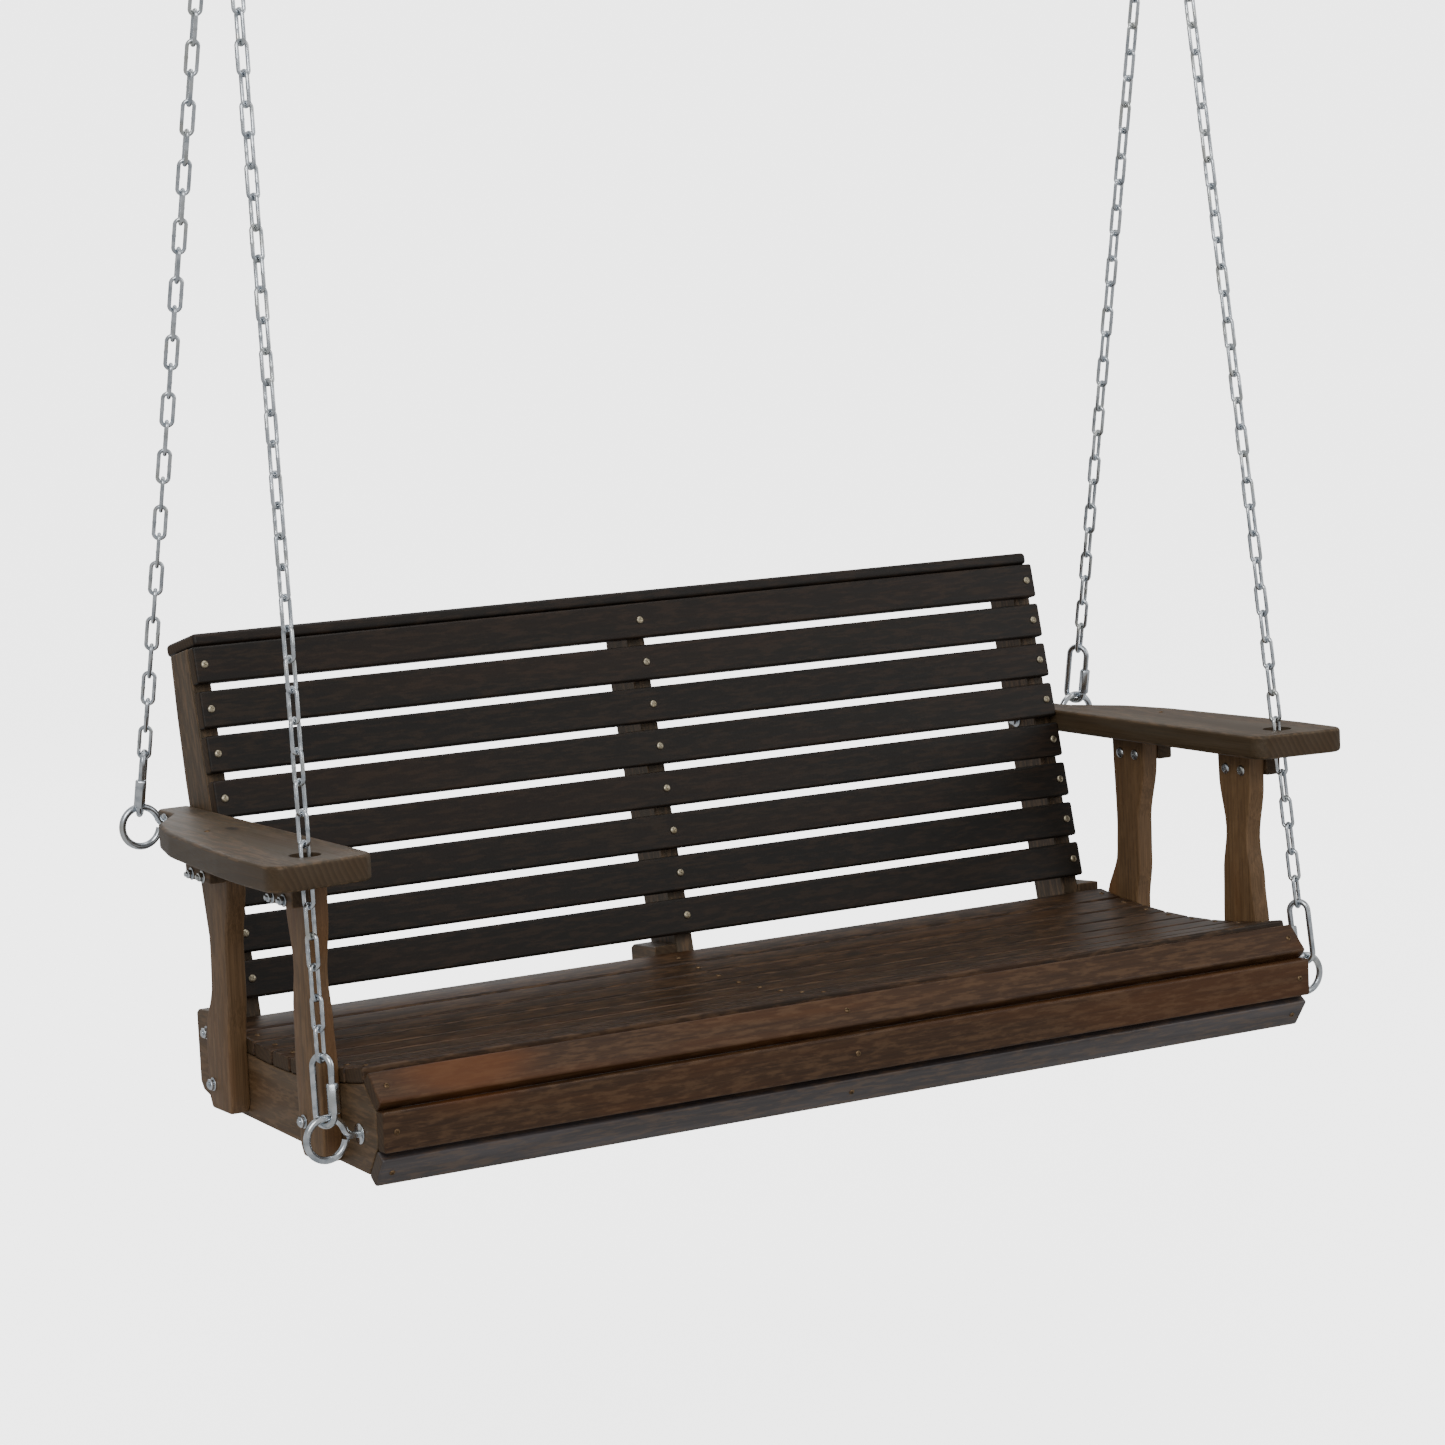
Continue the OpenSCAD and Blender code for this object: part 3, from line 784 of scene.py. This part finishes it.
@dataclass
class Arms:
    """Paddle arm rests on waved supports, with cleats under them."""

    hole: Flat = (674.5, -432.0)
    hole_r: float = 18.0
    cleat_middles: Flat = (-155.5, -384.5)
    plan: tuple[Point, ...] = (
        (610, 47, 0), (652.9, 47, 8), (652.9, -6, 10), (700, -74, 60), (720, -150, 150),
        (737, -330, 400), (741, -400, 0), (741, -493.6, 24), (610, -478.9, 24))
    rear_back: Keys = ((317, -120), (200, -124), (160, -122), (95, -97), (19, -97), (7, -103))
    rear_face: Keys = ((317, -190), (285, -189), (205, -173), (150, -172), (95, -164),
                       (19, -163), (7, -157))
    front_back: Keys = ((317, -348), (285, -349), (215, -361), (160, -353), (95, -351),
                        (7, -353), (-5, -360))
    front_face: Keys = ((317, -416), (275, -415), (205, -404), (150, -412), (95, -418),
                        (7, -417), (-5, -411))

    def outline(self) -> list[Flat]:
        """The arm rest's plan with its corners rounded."""
        out: list[Flat] = []
        n = len(self.plan)
        for i, (x, y, r) in enumerate(self.plan):
            p = Vector((x, y))
            if r <= 0:
                out.append((x, y))
                continue
            u = (Vector(self.plan[i - 1][:2]) - p).normalized()
            v = (Vector(self.plan[(i + 1) % n][:2]) - p).normalized()
            gap = math.acos(u.dot(v))
            c = p + (u + v).normalized() * (r / math.sin(gap / 2))
            q = p + u * (r / math.tan(gap / 2)) - c
            way = 1 if v.x * u.y - v.y * u.x > 0 else -1
            for k in range(8):
                w = way * (math.pi - gap) * k / 7
                out.append((c.x + q.x * math.cos(w) - q.y * math.sin(w),
                            c.y + q.x * math.sin(w) + q.y * math.cos(w)))
        return out

    def rests(self, material: Material) -> None:
        """Makes the arm rests, with rounded rims and the chain hole cut."""
        for number, side in enumerate(Side):
            outline = self.outline()[::-1]
            obj = solid_from_outline(f"arm_board_{side.word}", outline, ARM_T, 4.5, 4)
            subtract(obj, primitive(
                "cutter", bpy.ops.mesh.primitive_cylinder_add, vertices=40,
                radius=self.hole_r * MM, depth=0.2,
                location=(self.hole[0] * MM, self.hole[1] * MM, 0)))
            fit_board(obj, BENCH @ side.mirror() @ shift(0, 0, ARM_Z), material,
                      f"arm_{side.word}", 0.4 + 0.2 * number)

    @staticmethod
    def curve(keys: Keys, steps: int = 26) -> list[Flat]:
        """A waved edge from its few widths, from the top down."""
        out = []
        for i in range(steps + 1):
            z = keys[0][0] + (keys[-1][0] - keys[0][0]) * i / steps
            j = max(k for k in range(len(keys) - 1) if z <= keys[k][0] + 0.001)
            s = min(1.0, max(0.0, (keys[j][0] - z) / (keys[j][0] - keys[j + 1][0])))
            out.append((keys[j][1] + (keys[j + 1][1] - keys[j][1]) * s * s * (3 - 2 * s), z))
        return out

    def supports(self, material: Material) -> None:
        """Makes the four waved supports."""
        edges = (("rear", self.rear_face, self.rear_back),
                 ("front", self.front_face, self.front_back))
        spots = [(*edge, side) for edge in edges for side in Side]
        for number, (word, face, back, side) in enumerate(spots, 21):
            outline = self.curve(face) + self.curve(back)[::-1]
            tag = f"{word}_{side.word}"
            obj = solid_from_outline(f"support_board_{tag}", outline, SUPPORT_T, 3.2)
            fit_board(obj, BENCH @ side.mirror() @ shift(OUTER_X, 0, 0) @ SWEEP_X, material,
                      f"support_{tag}", tone_of(number))

    def cleats(self, material: Material) -> None:
        """Makes the four cleats as one piece."""
        parts = []
        for side in Side:
            for y in self.cleat_middles:
                obj = block("cleat", CLEAT, 2.4)
                middle = shift(OUTER_X + SUPPORT_T + CLEAT[0] / 2, y, ARM_Z - CLEAT[2] / 2)
                parts.append(place(smooth(obj), BENCH @ side.mirror() @ middle))
        dress(join("cleat_blocks", parts), material, "bench", ["cleats"], 0.35)


# ---------------- fittings


def thread(radius: float, length: float) -> list[Flat]:
    """The profile of a thread, with whole turns of about the usual pitch."""
    crests = max(2, int(length / THREAD_PITCH))
    out: list[Flat] = []
    for i in range(crests):
        z = length * i / crests
        out += [(radius * 0.86, z), (radius, z + 0.62 * length / crests)]
    return out + [(radius * 0.8, length)]


def nut(radius: float, height: float) -> Object:
    """A hexagon nut with its corners turned off, its seat at local Z 0."""
    profile = [(radius * 0.9, 0), (radius, 0.09 * height), (radius, 0.88 * height),
               (radius * 0.9, height)]
    return ease_corners(lathe("nut", profile, 6), 0.25, 1)


def washer(radius: float, height: float) -> Object:
    """A flat washer with eased rims, its seat at local Z 0."""
    return lathe("washer", [(radius * 0.97, 0), (radius, height * 0.25),
                            (radius, height * 0.75), (radius * 0.96, height)], 32)


@dataclass
class Fixings:
    """Wood screws, carriage bolts and frame bolts."""

    seat: Seat
    back: Back
    screw_rows: tuple[float, ...] = (-HALF + STILE_T / 2, 0.0, HALF - STILE_T / 2)
    board_rows: tuple[float, ...] = (-HALF - SILL_T / 2, -(STILE_T + SILL_T) / 2,
                                     HALF + SILL_T / 2)
    top_bolts: tuple[float, ...] = (-139.0, -171.0, -366.0, -398.0)
    top_bolt_z: float = 294.0
    foot_bolts: Keys = ((-112.0, 37.0), (-368.0, 36.0))
    joint_y: float = -44.0
    joint_z: Flat = (85.0, 40.0)
    foot_sink: float = 12.0

    def screw(self, head: float) -> Object:
        """A pan head screw with a cross recess; the head faces local Z."""
        obj = lathe("screw", [(1.4, -12), (1.9, -3), (1.9, 0.02), (head, 0.03), (head, 0.55),
                              (head * 0.9, 1.25), (head * 0.7, 1.85), (head * 0.35, 2.2)], 20)
        long_way, slot, deep, high = head * 1.15 * MM, 1.05 * MM, 3.2 * MM, 2.6 * MM
        cutters = []
        for size in ((long_way, slot, deep), (slot, long_way, deep)):
            cutters.append(primitive("cross", bpy.ops.mesh.primitive_cube_add, size=1,
                                     scale=size, location=(0, 0, high)))
            bpy.ops.object.transform_apply()
        for cutter in cutters:
            subtract(obj, cutter)
        return smooth(obj, weighted=False)

    def screws(self, bright: Material, dull: Material) -> None:
        """Drives the screws of the back, the seat, the front and the arm rests."""
        out_of_back = turn(math.pi / 2, "X")
        spots = [BACK @ shift(x, 0, -k * self.back.pitch) @ out_of_back
                 @ turn(0.7 * k + x, "Z") for k in range(self.back.count)
                 for x in self.screw_rows]
        dress(copies("back_screws", self.screw(4.8), spots), bright, "bench",
              ["wood_screws"])
        spots = [self.seat.slat_place(k) @ shift(x, 0, -0.9) @ turn(1.1 * k + x, "Z")
                 for k in range(1, 9) for x in self.board_rows]
        spots += [BENCH @ side.mirror() @ shift(682, -178, ARM_Z + ARM_T - 0.9)
                  for side in Side]
        spots += [self.seat.face_place(word) @ shift(x, 0.6, 0) @ out_of_back
                  @ turn(x, "Z") for word in self.seat.faces for x in self.board_rows]
        dress(copies("seat_screws", self.screw(3.7), spots), dull, "bench",
              ["wood_screws"])

    def carriage(self, material: Material) -> None:
        """Makes the carriage bolts: domed heads inside, washers and nuts on the cleats."""
        dome = [(7.1, -0.05), (7.2, -0.4)] + [
            (7.2 * math.cos(a), -0.4 - 3.2 * math.sin(a))
            for a in (0.25, 0.5, 0.75, 1.0, 1.25, 1.45)]
        head = lathe("dome", dome, 28)
        far = SUPPORT_T + CLEAT[0]
        parts = [head, lathe("shank", [(3, -0.2), (3, far + 7)], 16)]
        for shape, z in ((washer(7.5, 1.4), far), (nut(5.77, 4.8), far + 1.4),
                         (lathe("end", thread(3, 3.4), 16), far + 5.9)):
            parts.append(place(shape, shift(0, 0, z)))
        bolt = smooth(join("bolt", parts), weighted=False)
        spots = [BENCH @ side.mirror() @ shift(OUTER_X, y, self.top_bolt_z) @ ALONG_X
                 for side in Side for y in self.top_bolts]
        dress(copies("carriage_set", bolt, spots), material, "bench", ["carriage_bolts"])

    def frame_set(self, material: Material) -> None:
        """Makes the hexagon bolts through the feet and the stiles."""
        def bolt(start: float, length: float, sink: float) -> Object:
            """One bolt along local Z: head at the start, washer and nut at the end."""
            parts = [lathe("shank", [(4, start), (4, length + 6)], 20)]
            for shape, z in ((washer(8, 1.5), length), (nut(6.9, 4.6), length + 1.5),
                             (lathe("end", thread(4, 2.2), 20), length + 5.9)):
                parts.append(place(shape, shift(0, 0, z)))
            parts.append(place(nut(6.9, sink), turn(math.pi, "X")))
            return smooth(join("bolt", parts), weighted=False)
        foot = [BENCH @ side.mirror() @ shift(HALF + self.foot_sink, y, z) @ ALONG_X
                for side in Side for y, z in self.foot_bolts]
        through = OUTER_X + SUPPORT_T - HALF - self.foot_sink
        first = copies("foot_bolts", bolt(-5, through, 5), foot)
        stile = [BENCH @ side.mirror() @ shift(HALF - STILE_T, self.joint_y, self.joint_z[0])
                 @ ALONG_X for side in Side]
        second = copies("stile_bolts", bolt(-3, OUTER_X - HALF + STILE_T, 3), stile)
        middle = [BENCH @ shift(-(STILE_T / 2 + SILL_T), self.joint_y, z) @ ALONG_X
                  for z in self.joint_z]
        third = copies("middle_bolts", bolt(-3, STILE_T + SILL_T, 3), middle)
        dress(join("frame_bolt_set", [first, second, third]), material, "bench",
              ["frame_bolts"])


@dataclass
class EyeBolts:
    """Bent eye bolts: a ring, a threaded shank, a washer and a nut."""

    ring_r: float = EYE_R
    wire: float = EYE_WIRE

    def shape(self, eye_x: float, face: float, back: float) -> Object:
        """An eye bolt about its ring centre, with the shank along local -X."""
        r, w = self.ring_r, self.wire / 2
        shank_end = -(eye_x - back + 12)
        bend = [(-r - 13, 0), (-r - 6, 0.6), (-r - 1.2, 3.6)]
        loop = arc(0, 0, r, 164, -171, 58)
        path = [(x, 0.0, z) for x, z in bend + loop]
        parts = [wire("eye_ring", path, w, sides=5),
                 wire("neck", [(-r - x, 0, 0) for x in (17, 9, 2)], w * 0.99, sides=5)]
        screwed = lathe("eye_thread", thread(w, -r - 12 - shank_end), 20)
        parts.append(place(screwed, shift(shank_end, 0, 0) @ ALONG_X))
        for shape, x, flip in ((washer(12, 1.8), face - eye_x, 1),
                               (washer(11, 1.6), back - eye_x, -1),
                               (nut(8.1, 6.4), back - eye_x - 1.6, -1)):
            parts.append(place(shape, shift(x, 0, 0) @ turn(flip * math.pi / 2, "Y")))
        return smooth(join("eye", parts), weighted=False)

    def build(self, material: Material) -> None:
        """Makes the four eye bolts."""
        for word, eye, face, back in (("front", EYE_FRONT, OUTER_X, HALF),
                                      ("rear", EYE_REAR, 652.9, HALF - STILE_T)):
            for side in Side:
                obj = self.shape(eye[0], face, back)
                place(obj, BENCH @ side.mirror() @ shift(*eye))
                obj.name = f"eye_bolt_{word}_{side.word}"
                dress(obj, material, "bench", [f"eye_{word}_{side.word}"])


@dataclass
class Suspension:
    """Link chains with screw links, joining rings, swing eyes and ceiling hangers."""

    chain_wire: float = 4.8
    chain_w: float = 18.0
    pitch: float = 33.6
    eye_r: float = EYE_R
    eye_wire: float = EYE_WIRE
    quick_wire: float = 7.5
    quick_w: float = 32.0
    quick_l: float = 85.0
    gap: float = 0.5
    ring_r: float = 26.0
    ring_wire: float = 7.0
    twists: dict[tuple[str, Side], Flat] = field(default_factory=lambda: {
        ("front", Side.LEFT): (-120, -30), ("front", Side.RIGHT): (120, 30),
        ("rear", Side.LEFT): (-60, 30), ("rear", Side.RIGHT): (-60, 30)})

    def line(self, eye: Point, side: Side) -> tuple[Matrix, float]:
        """The chain's own frame at the wire of the eye ring, and its length to the upper wire."""
        middle, ring = BENCH @ Vector(eye), Vector((HANGER_X, 0, RING_Z))
        upright = Vector((0, math.sin(HANG_TILT), math.cos(HANG_TILT)))
        rise = (ring - middle).dot(upright) * upright + Vector(((ring - middle).x, 0, 0))
        start = middle + self.eye_r * rise.normalized()
        fall = (ring - start) * Vector((0, 1, 1))
        way = ring - self.ring_r * fall.normalized() - start
        d = way.normalized()
        m = (shift(*start) @ turn(math.atan2(d.x, d.z), "Y") @ turn(-math.asin(d.y), "X"))
        return side.mirror() @ m, way.length

    @property
    def low(self) -> float:
        """Height of the screw link's lower bend."""
        return -(self.eye_wire + self.quick_wire) / 2 - self.gap

    @property
    def middle(self) -> float:
        """Height of the screw link's middle."""
        return self.low + (self.quick_l - self.quick_wire) / 2

    def link(self, inner: float) -> Object:
        """One chain link, long axis along local Z, with the weld on one limb."""
        r = (self.chain_w - self.chain_wire) / 2
        reach = (inner + self.chain_wire - 2 * r) / 2
        obj = primitive("link", bpy.ops.mesh.primitive_torus_add, major_radius=r * MM,
                        minor_radius=self.chain_wire / 2 * MM, major_segments=20,
                        minor_segments=10, rotation=(0, 0, math.radians(9)))
        bpy.ops.object.transform_apply(location=False, rotation=True, scale=False)
        place(obj, turn(math.pi / 2, "X"))
        for v in obj.data.vertices:
            v.co.z += math.copysign(reach * MM, v.co.z)
        with Editing(obj):
            for z in (-2.0, 0.0, 2.0):
                bpy.ops.mesh.select_all(action="SELECT")
                bpy.ops.mesh.bisect(plane_co=(0, 0, z * MM), plane_no=(0, 0, 1))
        for v in obj.data.vertices:
            if v.co.x > 0 and abs(v.co.z) < 1e-5:
                v.co.x = r * MM + (v.co.x - r * MM) * WELD_SWELL
                v.co.y *= WELD_SWELL
        return smooth(obj, weighted=False)

    def chain(self, word: str, eye: Point, side: Side,
              material: Material) -> None:
        """One chain from the screw link to the joining ring."""
        frame_of_line, length = self.line(eye, side)
        start = (self.low + self.quick_l - self.quick_wire
                 - (self.quick_wire + self.chain_wire) / 2 - self.gap)
        end = length + (self.ring_wire + self.chain_wire) / 2 + self.gap
        count = round((end - start - self.chain_wire - self.gap) / self.pitch)
        step = (end - start - self.chain_wire - SLACK) / count
        spots = []
        for i in range(count):
            odd = (count - 1 - i) % 2
            twist = math.radians(self.twists[word, side][1]) * (1 - i / (count - 1))
            middle = start + i * step + (step + SLACK + self.chain_wire) / 2
            flip = math.pi * ((i * 7) % 3 == 1)
            spots.append(frame_of_line @ shift(0, 0, middle)
                         @ turn(odd * math.pi / 2 + twist + flip, "Z"))
        tag = f"{word}_{side.word}"
        dress(copies(f"links_{tag}", self.link(step + SLACK), spots), material, f"chain_{tag}",
              [f"chain_{tag}"])

    def quick(self, word: str, eye: Point, side: Side,
              material: Material) -> None:
        """One screw link and its sleeve."""
        frame_of_line, _ = self.line(eye, side)
        m = (frame_of_line @ shift(0, 0, self.middle)
             @ turn(math.radians(self.twists[word, side][0]), "Z"))
        x = (self.quick_w - self.quick_wire) / 2
        h = (self.quick_l - self.quick_w) / 2
        path = [(x, -14.4), (x, h * 0.5)] + arc(0, h, x, 0, 180, 16) + [(-x, 0.0)]
        path += arc(0, -h, x, 180, 360, 16) + [(x, -24.0)]
        tag = f"{word}_{side.word}"
        obj = wire(f"screw_link_{tag}", [(p, 0.0, q) for p, q in path], self.quick_wire / 2,
                   sides=5)
        place(smooth(obj, weighted=False), m)
        dress(obj, material, f"chain_{tag}", [f"quick_{tag}"])
        profile = [(6.0, -26), (6.3, -25.2), (6.9, -24.4), (6.9, 6.4), (6.3, 7.2), (6.0, 8)]
        sleeve = ease_corners(lathe(f"link_sleeve_{tag}", profile, 6), 0.45, 2)
        place(smooth(sleeve, weighted=False), m @ shift(x, 0, 0))
        dress(sleeve, material, f"sleeve_{tag}", [f"sleeve_{tag}"])

    def top(self, side: Side, zinc: Material, dull: Material) -> None:
        """The joining ring and the swing eye of one side."""
        w, s = side.word, side.mirror()
        ring = wire(f"ring_{w}", [(0.0, y, z) for y, z in arc(0, 0, self.ring_r, 0, 352.5, 47)],
                    self.ring_wire / 2, closed=True, sides=5)
        place(smooth(ring, weighted=False), s @ shift(HANGER_X, 0, RING_Z))
        dress(ring, zinc, "yoke", [f"join_ring_{w}"])
        loop = wire("loop", [(x, 0.0, z) for x, z in arc(0, -66, 14, 0, 350, 35)], 4,
                    closed=True, sides=5)
        stem = lathe("stem", [(4.4, -55.5), (4.8, -52), (5.4, -46), (6.4, -41)], 20)
        bush = lathe("bush", [(8.4, -10), (9, -9.3), (9, 9.3), (8.4, 10)], 32)
        place(bush, shift(0, 0, PIN_Z) @ ALONG_X)
        eye = smooth(join(f"swing_bush_{w}", [loop, stem, bush]), weighted=False)
        place(eye, s @ shift(HANGER_X, 0, 0))
        dress(eye, dull, "yoke", [f"swing_eye_{w}"])

    def build(self, zinc: Material, dull: Material) -> None:
        """Makes all of the suspension, and dresses the hangers."""
        for side in Side:
            self.top(side, zinc, dull)
            for word, eye in (("front", EYE_FRONT), ("rear", EYE_REAR)):
                self.chain(word, eye, side, zinc)
                self.quick(word, eye, side, zinc)
        for name in ("hanger_left", "hanger_right", "hanger_pins"):
            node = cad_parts[name]
            node.data.materials.clear()
            node.data.materials.append(dull)


# ---------------- studio


@dataclass
class Studio:
    """Pale floor, soft light and the camera."""

    floor_z: float = -2.2
    azimuth: float = -30.11
    elevation: float = 6.92
    roll: float = -2.70
    eye_mm: Point = (-2437.1, -4386.4, 1001.7)
    lens: float = 98.79
    shift_xy: Flat = (0.0038, -0.0046)
    dome_radius: float = 28.0
    sky: float = 0.5
    lamps: tuple[tuple[str, Point, float, float], ...] = (
        ("key", (-2.6, -3.4, 1.6), 2.2, 90), ("fill", (3.4, -2.6, 0.4), 2.6, 30),
        ("top", (0.3, 0.4, 2.4), 2.4, 36), ("back", (0.8, 4.2, 0.4), 3.0, 34))

    def camera(self) -> None:
        """Places the camera in the bench's frame, then hangs it with the bench."""
        a, e, r = (math.radians(v) for v in (self.azimuth, self.elevation, self.roll))
        back = Vector((math.sin(a) * math.cos(e), -math.cos(a) * math.cos(e), math.sin(e)))
        right = (-back).cross(Vector((0, 0, 1))).normalized()
        up = right.cross(-back)
        right, up = (math.cos(r) * right + math.sin(r) * up,
                     math.cos(r) * up - math.sin(r) * right)
        turned = Matrix((right, up, back)).transposed().to_4x4()
        data = bpy.data.cameras.new("camera")
        data.sensor_width, data.lens = 36.0, self.lens
        data.shift_x, data.shift_y = self.shift_xy
        data.clip_start, data.clip_end = 0.05, 100
        cam = bpy.data.objects.new("camera", data)
        cam.matrix_world = scaled(BENCH @ shift(*self.eye_mm) @ turned)
        bpy.context.collection.objects.link(cam)
        bpy.context.scene.camera = cam

    def light(self, name: str, spot: Point, size: float, power: float) -> None:
        """One square white light that faces the seat."""
        data = bpy.data.lights.new(name, "AREA")
        data.size, data.energy = size, power
        lamp = bpy.data.objects.new(name, data)
        lamp.location = spot
        toward_seat = Vector((0, 0, -1.3)) - Vector(spot)
        lamp.rotation_euler = toward_seat.to_track_quat("-Z", "Y").to_euler()
        bpy.context.collection.objects.link(lamp)

    def build(self) -> None:
        """Makes the floor, the lights, the sky and the camera."""
        floor = primitive("studio_floor", bpy.ops.mesh.primitive_plane_add, size=60,
                          location=(0, 0, self.floor_z))
        dome = primitive("studio_dome", bpy.ops.mesh.primitive_uv_sphere_add, segments=48,
                         ring_count=24, radius=self.dome_radius)
        paper = Backdrop().build()
        for sheet in (floor, dome):
            sheet.data.materials.append(paper)
            sheet.visible_diffuse = sheet.visible_glossy = sheet.visible_shadow = False
            sheet.visible_transmission = False
        world = bpy.data.worlds.new("studio")
        bpy.context.scene.world = world
        world.use_nodes = True
        sky = world.node_tree.nodes["Background"].inputs
        sky["Color"].default_value, sky["Strength"].default_value = WHITE, self.sky
        for lamp in self.lamps:
            self.light(*lamp)
        self.camera()


def main() -> None:
    """Builds every sub-assembly in order."""
    logging.basicConfig(level=logging.INFO, format="%(name)s: %(message)s")
    slat = StainedPine("pine_back_stain", "#130f0b", "#1e1710", "#28190e", wear=0.22,
                       worn="#4a3625", warm_share=0.5).build()
    frame_side = StainedPine("pine_frame_stain", "#4b3a27", "#624d34", "#5f4226",
                             grain=Grain.FRONT_TO_BACK, lean=HANG_TILT, grey="#5f564a",
                             grey_share=0.25).build()
    frame_up = StainedPine("pine_stile_stain", "#3f3222", "#54442f", "#513922",
                           grain=Grain.UPRIGHT, lean=HANG_TILT + BACK_ANGLE, grey="#5b5245",
                           grey_share=0.25).build()
    seat_wood = StainedPine("pine_seat_stain", "#261a0e", "#382613", "#45290e", wear=0.45,
                            worn="#6b4f35", rough=0.46).build()
    front_wood = StainedPine("pine_front_stain", "#352112", "#4a321c", "#573314", wear=0.4,
                             worn="#6b4f35", warm_share=0.6, rough=0.46,
                             patch_at=(-530, -504, 96), patch_mm=52).build()
    # The bottom front board's greyish dark and light colours and its grey cloud are a painted
    # reflection of the pale floor in its sheen, laid over its real dark stain.
    low_wood_painted_sheen = StainedPine("pine_low_stain_painted_sheen", "#363030", "#484140", "#40342e", wear=0.3,
                           grey="#555051", grey_share=0.5, warm_share=0.2, rough=0.4,
                           gloss=0.6).build()
    arm_wood = StainedPine("pine_arm_stain", "#40321f", "#544430", "#523c22", wear=0.4,
                           grain=Grain.FRONT_TO_BACK, lean=HANG_TILT, grey="#5b5245",
                           grey_share=0.4).build()
    post_wood = StainedPine("pine_support_stain", "#5f482f", "#7b5f42", "#7d5532", wear=0.35,
                            worn="#8d6f4e", grain=Grain.UPRIGHT, lean=HANG_TILT).build()
    zinc = ZincPlate("zinc_bright", "#dde2e7", "#98a1a9", rough=0.2).build()
    dull = ZincPlate("zinc_dull", "#a9b0b5", "#747c83", "#9a988c", 0.36).build()
    screws = ZincPlate("screw_passivated", "#bdb49d", "#8c8370", "#a3946f", 0.36, 3.0).build()
    rusty = ZincPlate("screw_tarnished", "#8a7358", "#4d3b2b", "#6a5138", 0.5, 2.5).build()

    back, seat, arms = Back(), Seat(), Arms()
    back.slats(slat)
    back.cap(slat)
    back.stiles(frame_up)
    seat.slats(seat_wood)
    seat.front_slats(front_wood, low_wood_painted_sheen)
    seat.sills(frame_side)
    arms.rests(arm_wood)
    arms.supports(post_wood)
    arms.cleats(frame_side)
    fixings = Fixings(seat, back)
    fixings.screws(screws, rusty)
    fixings.carriage(zinc)
    fixings.frame_set(zinc)
    EyeBolts().build(zinc)
    Suspension().build(zinc, dull)
    Studio().build()


if __name__ == "__main__":
    main()
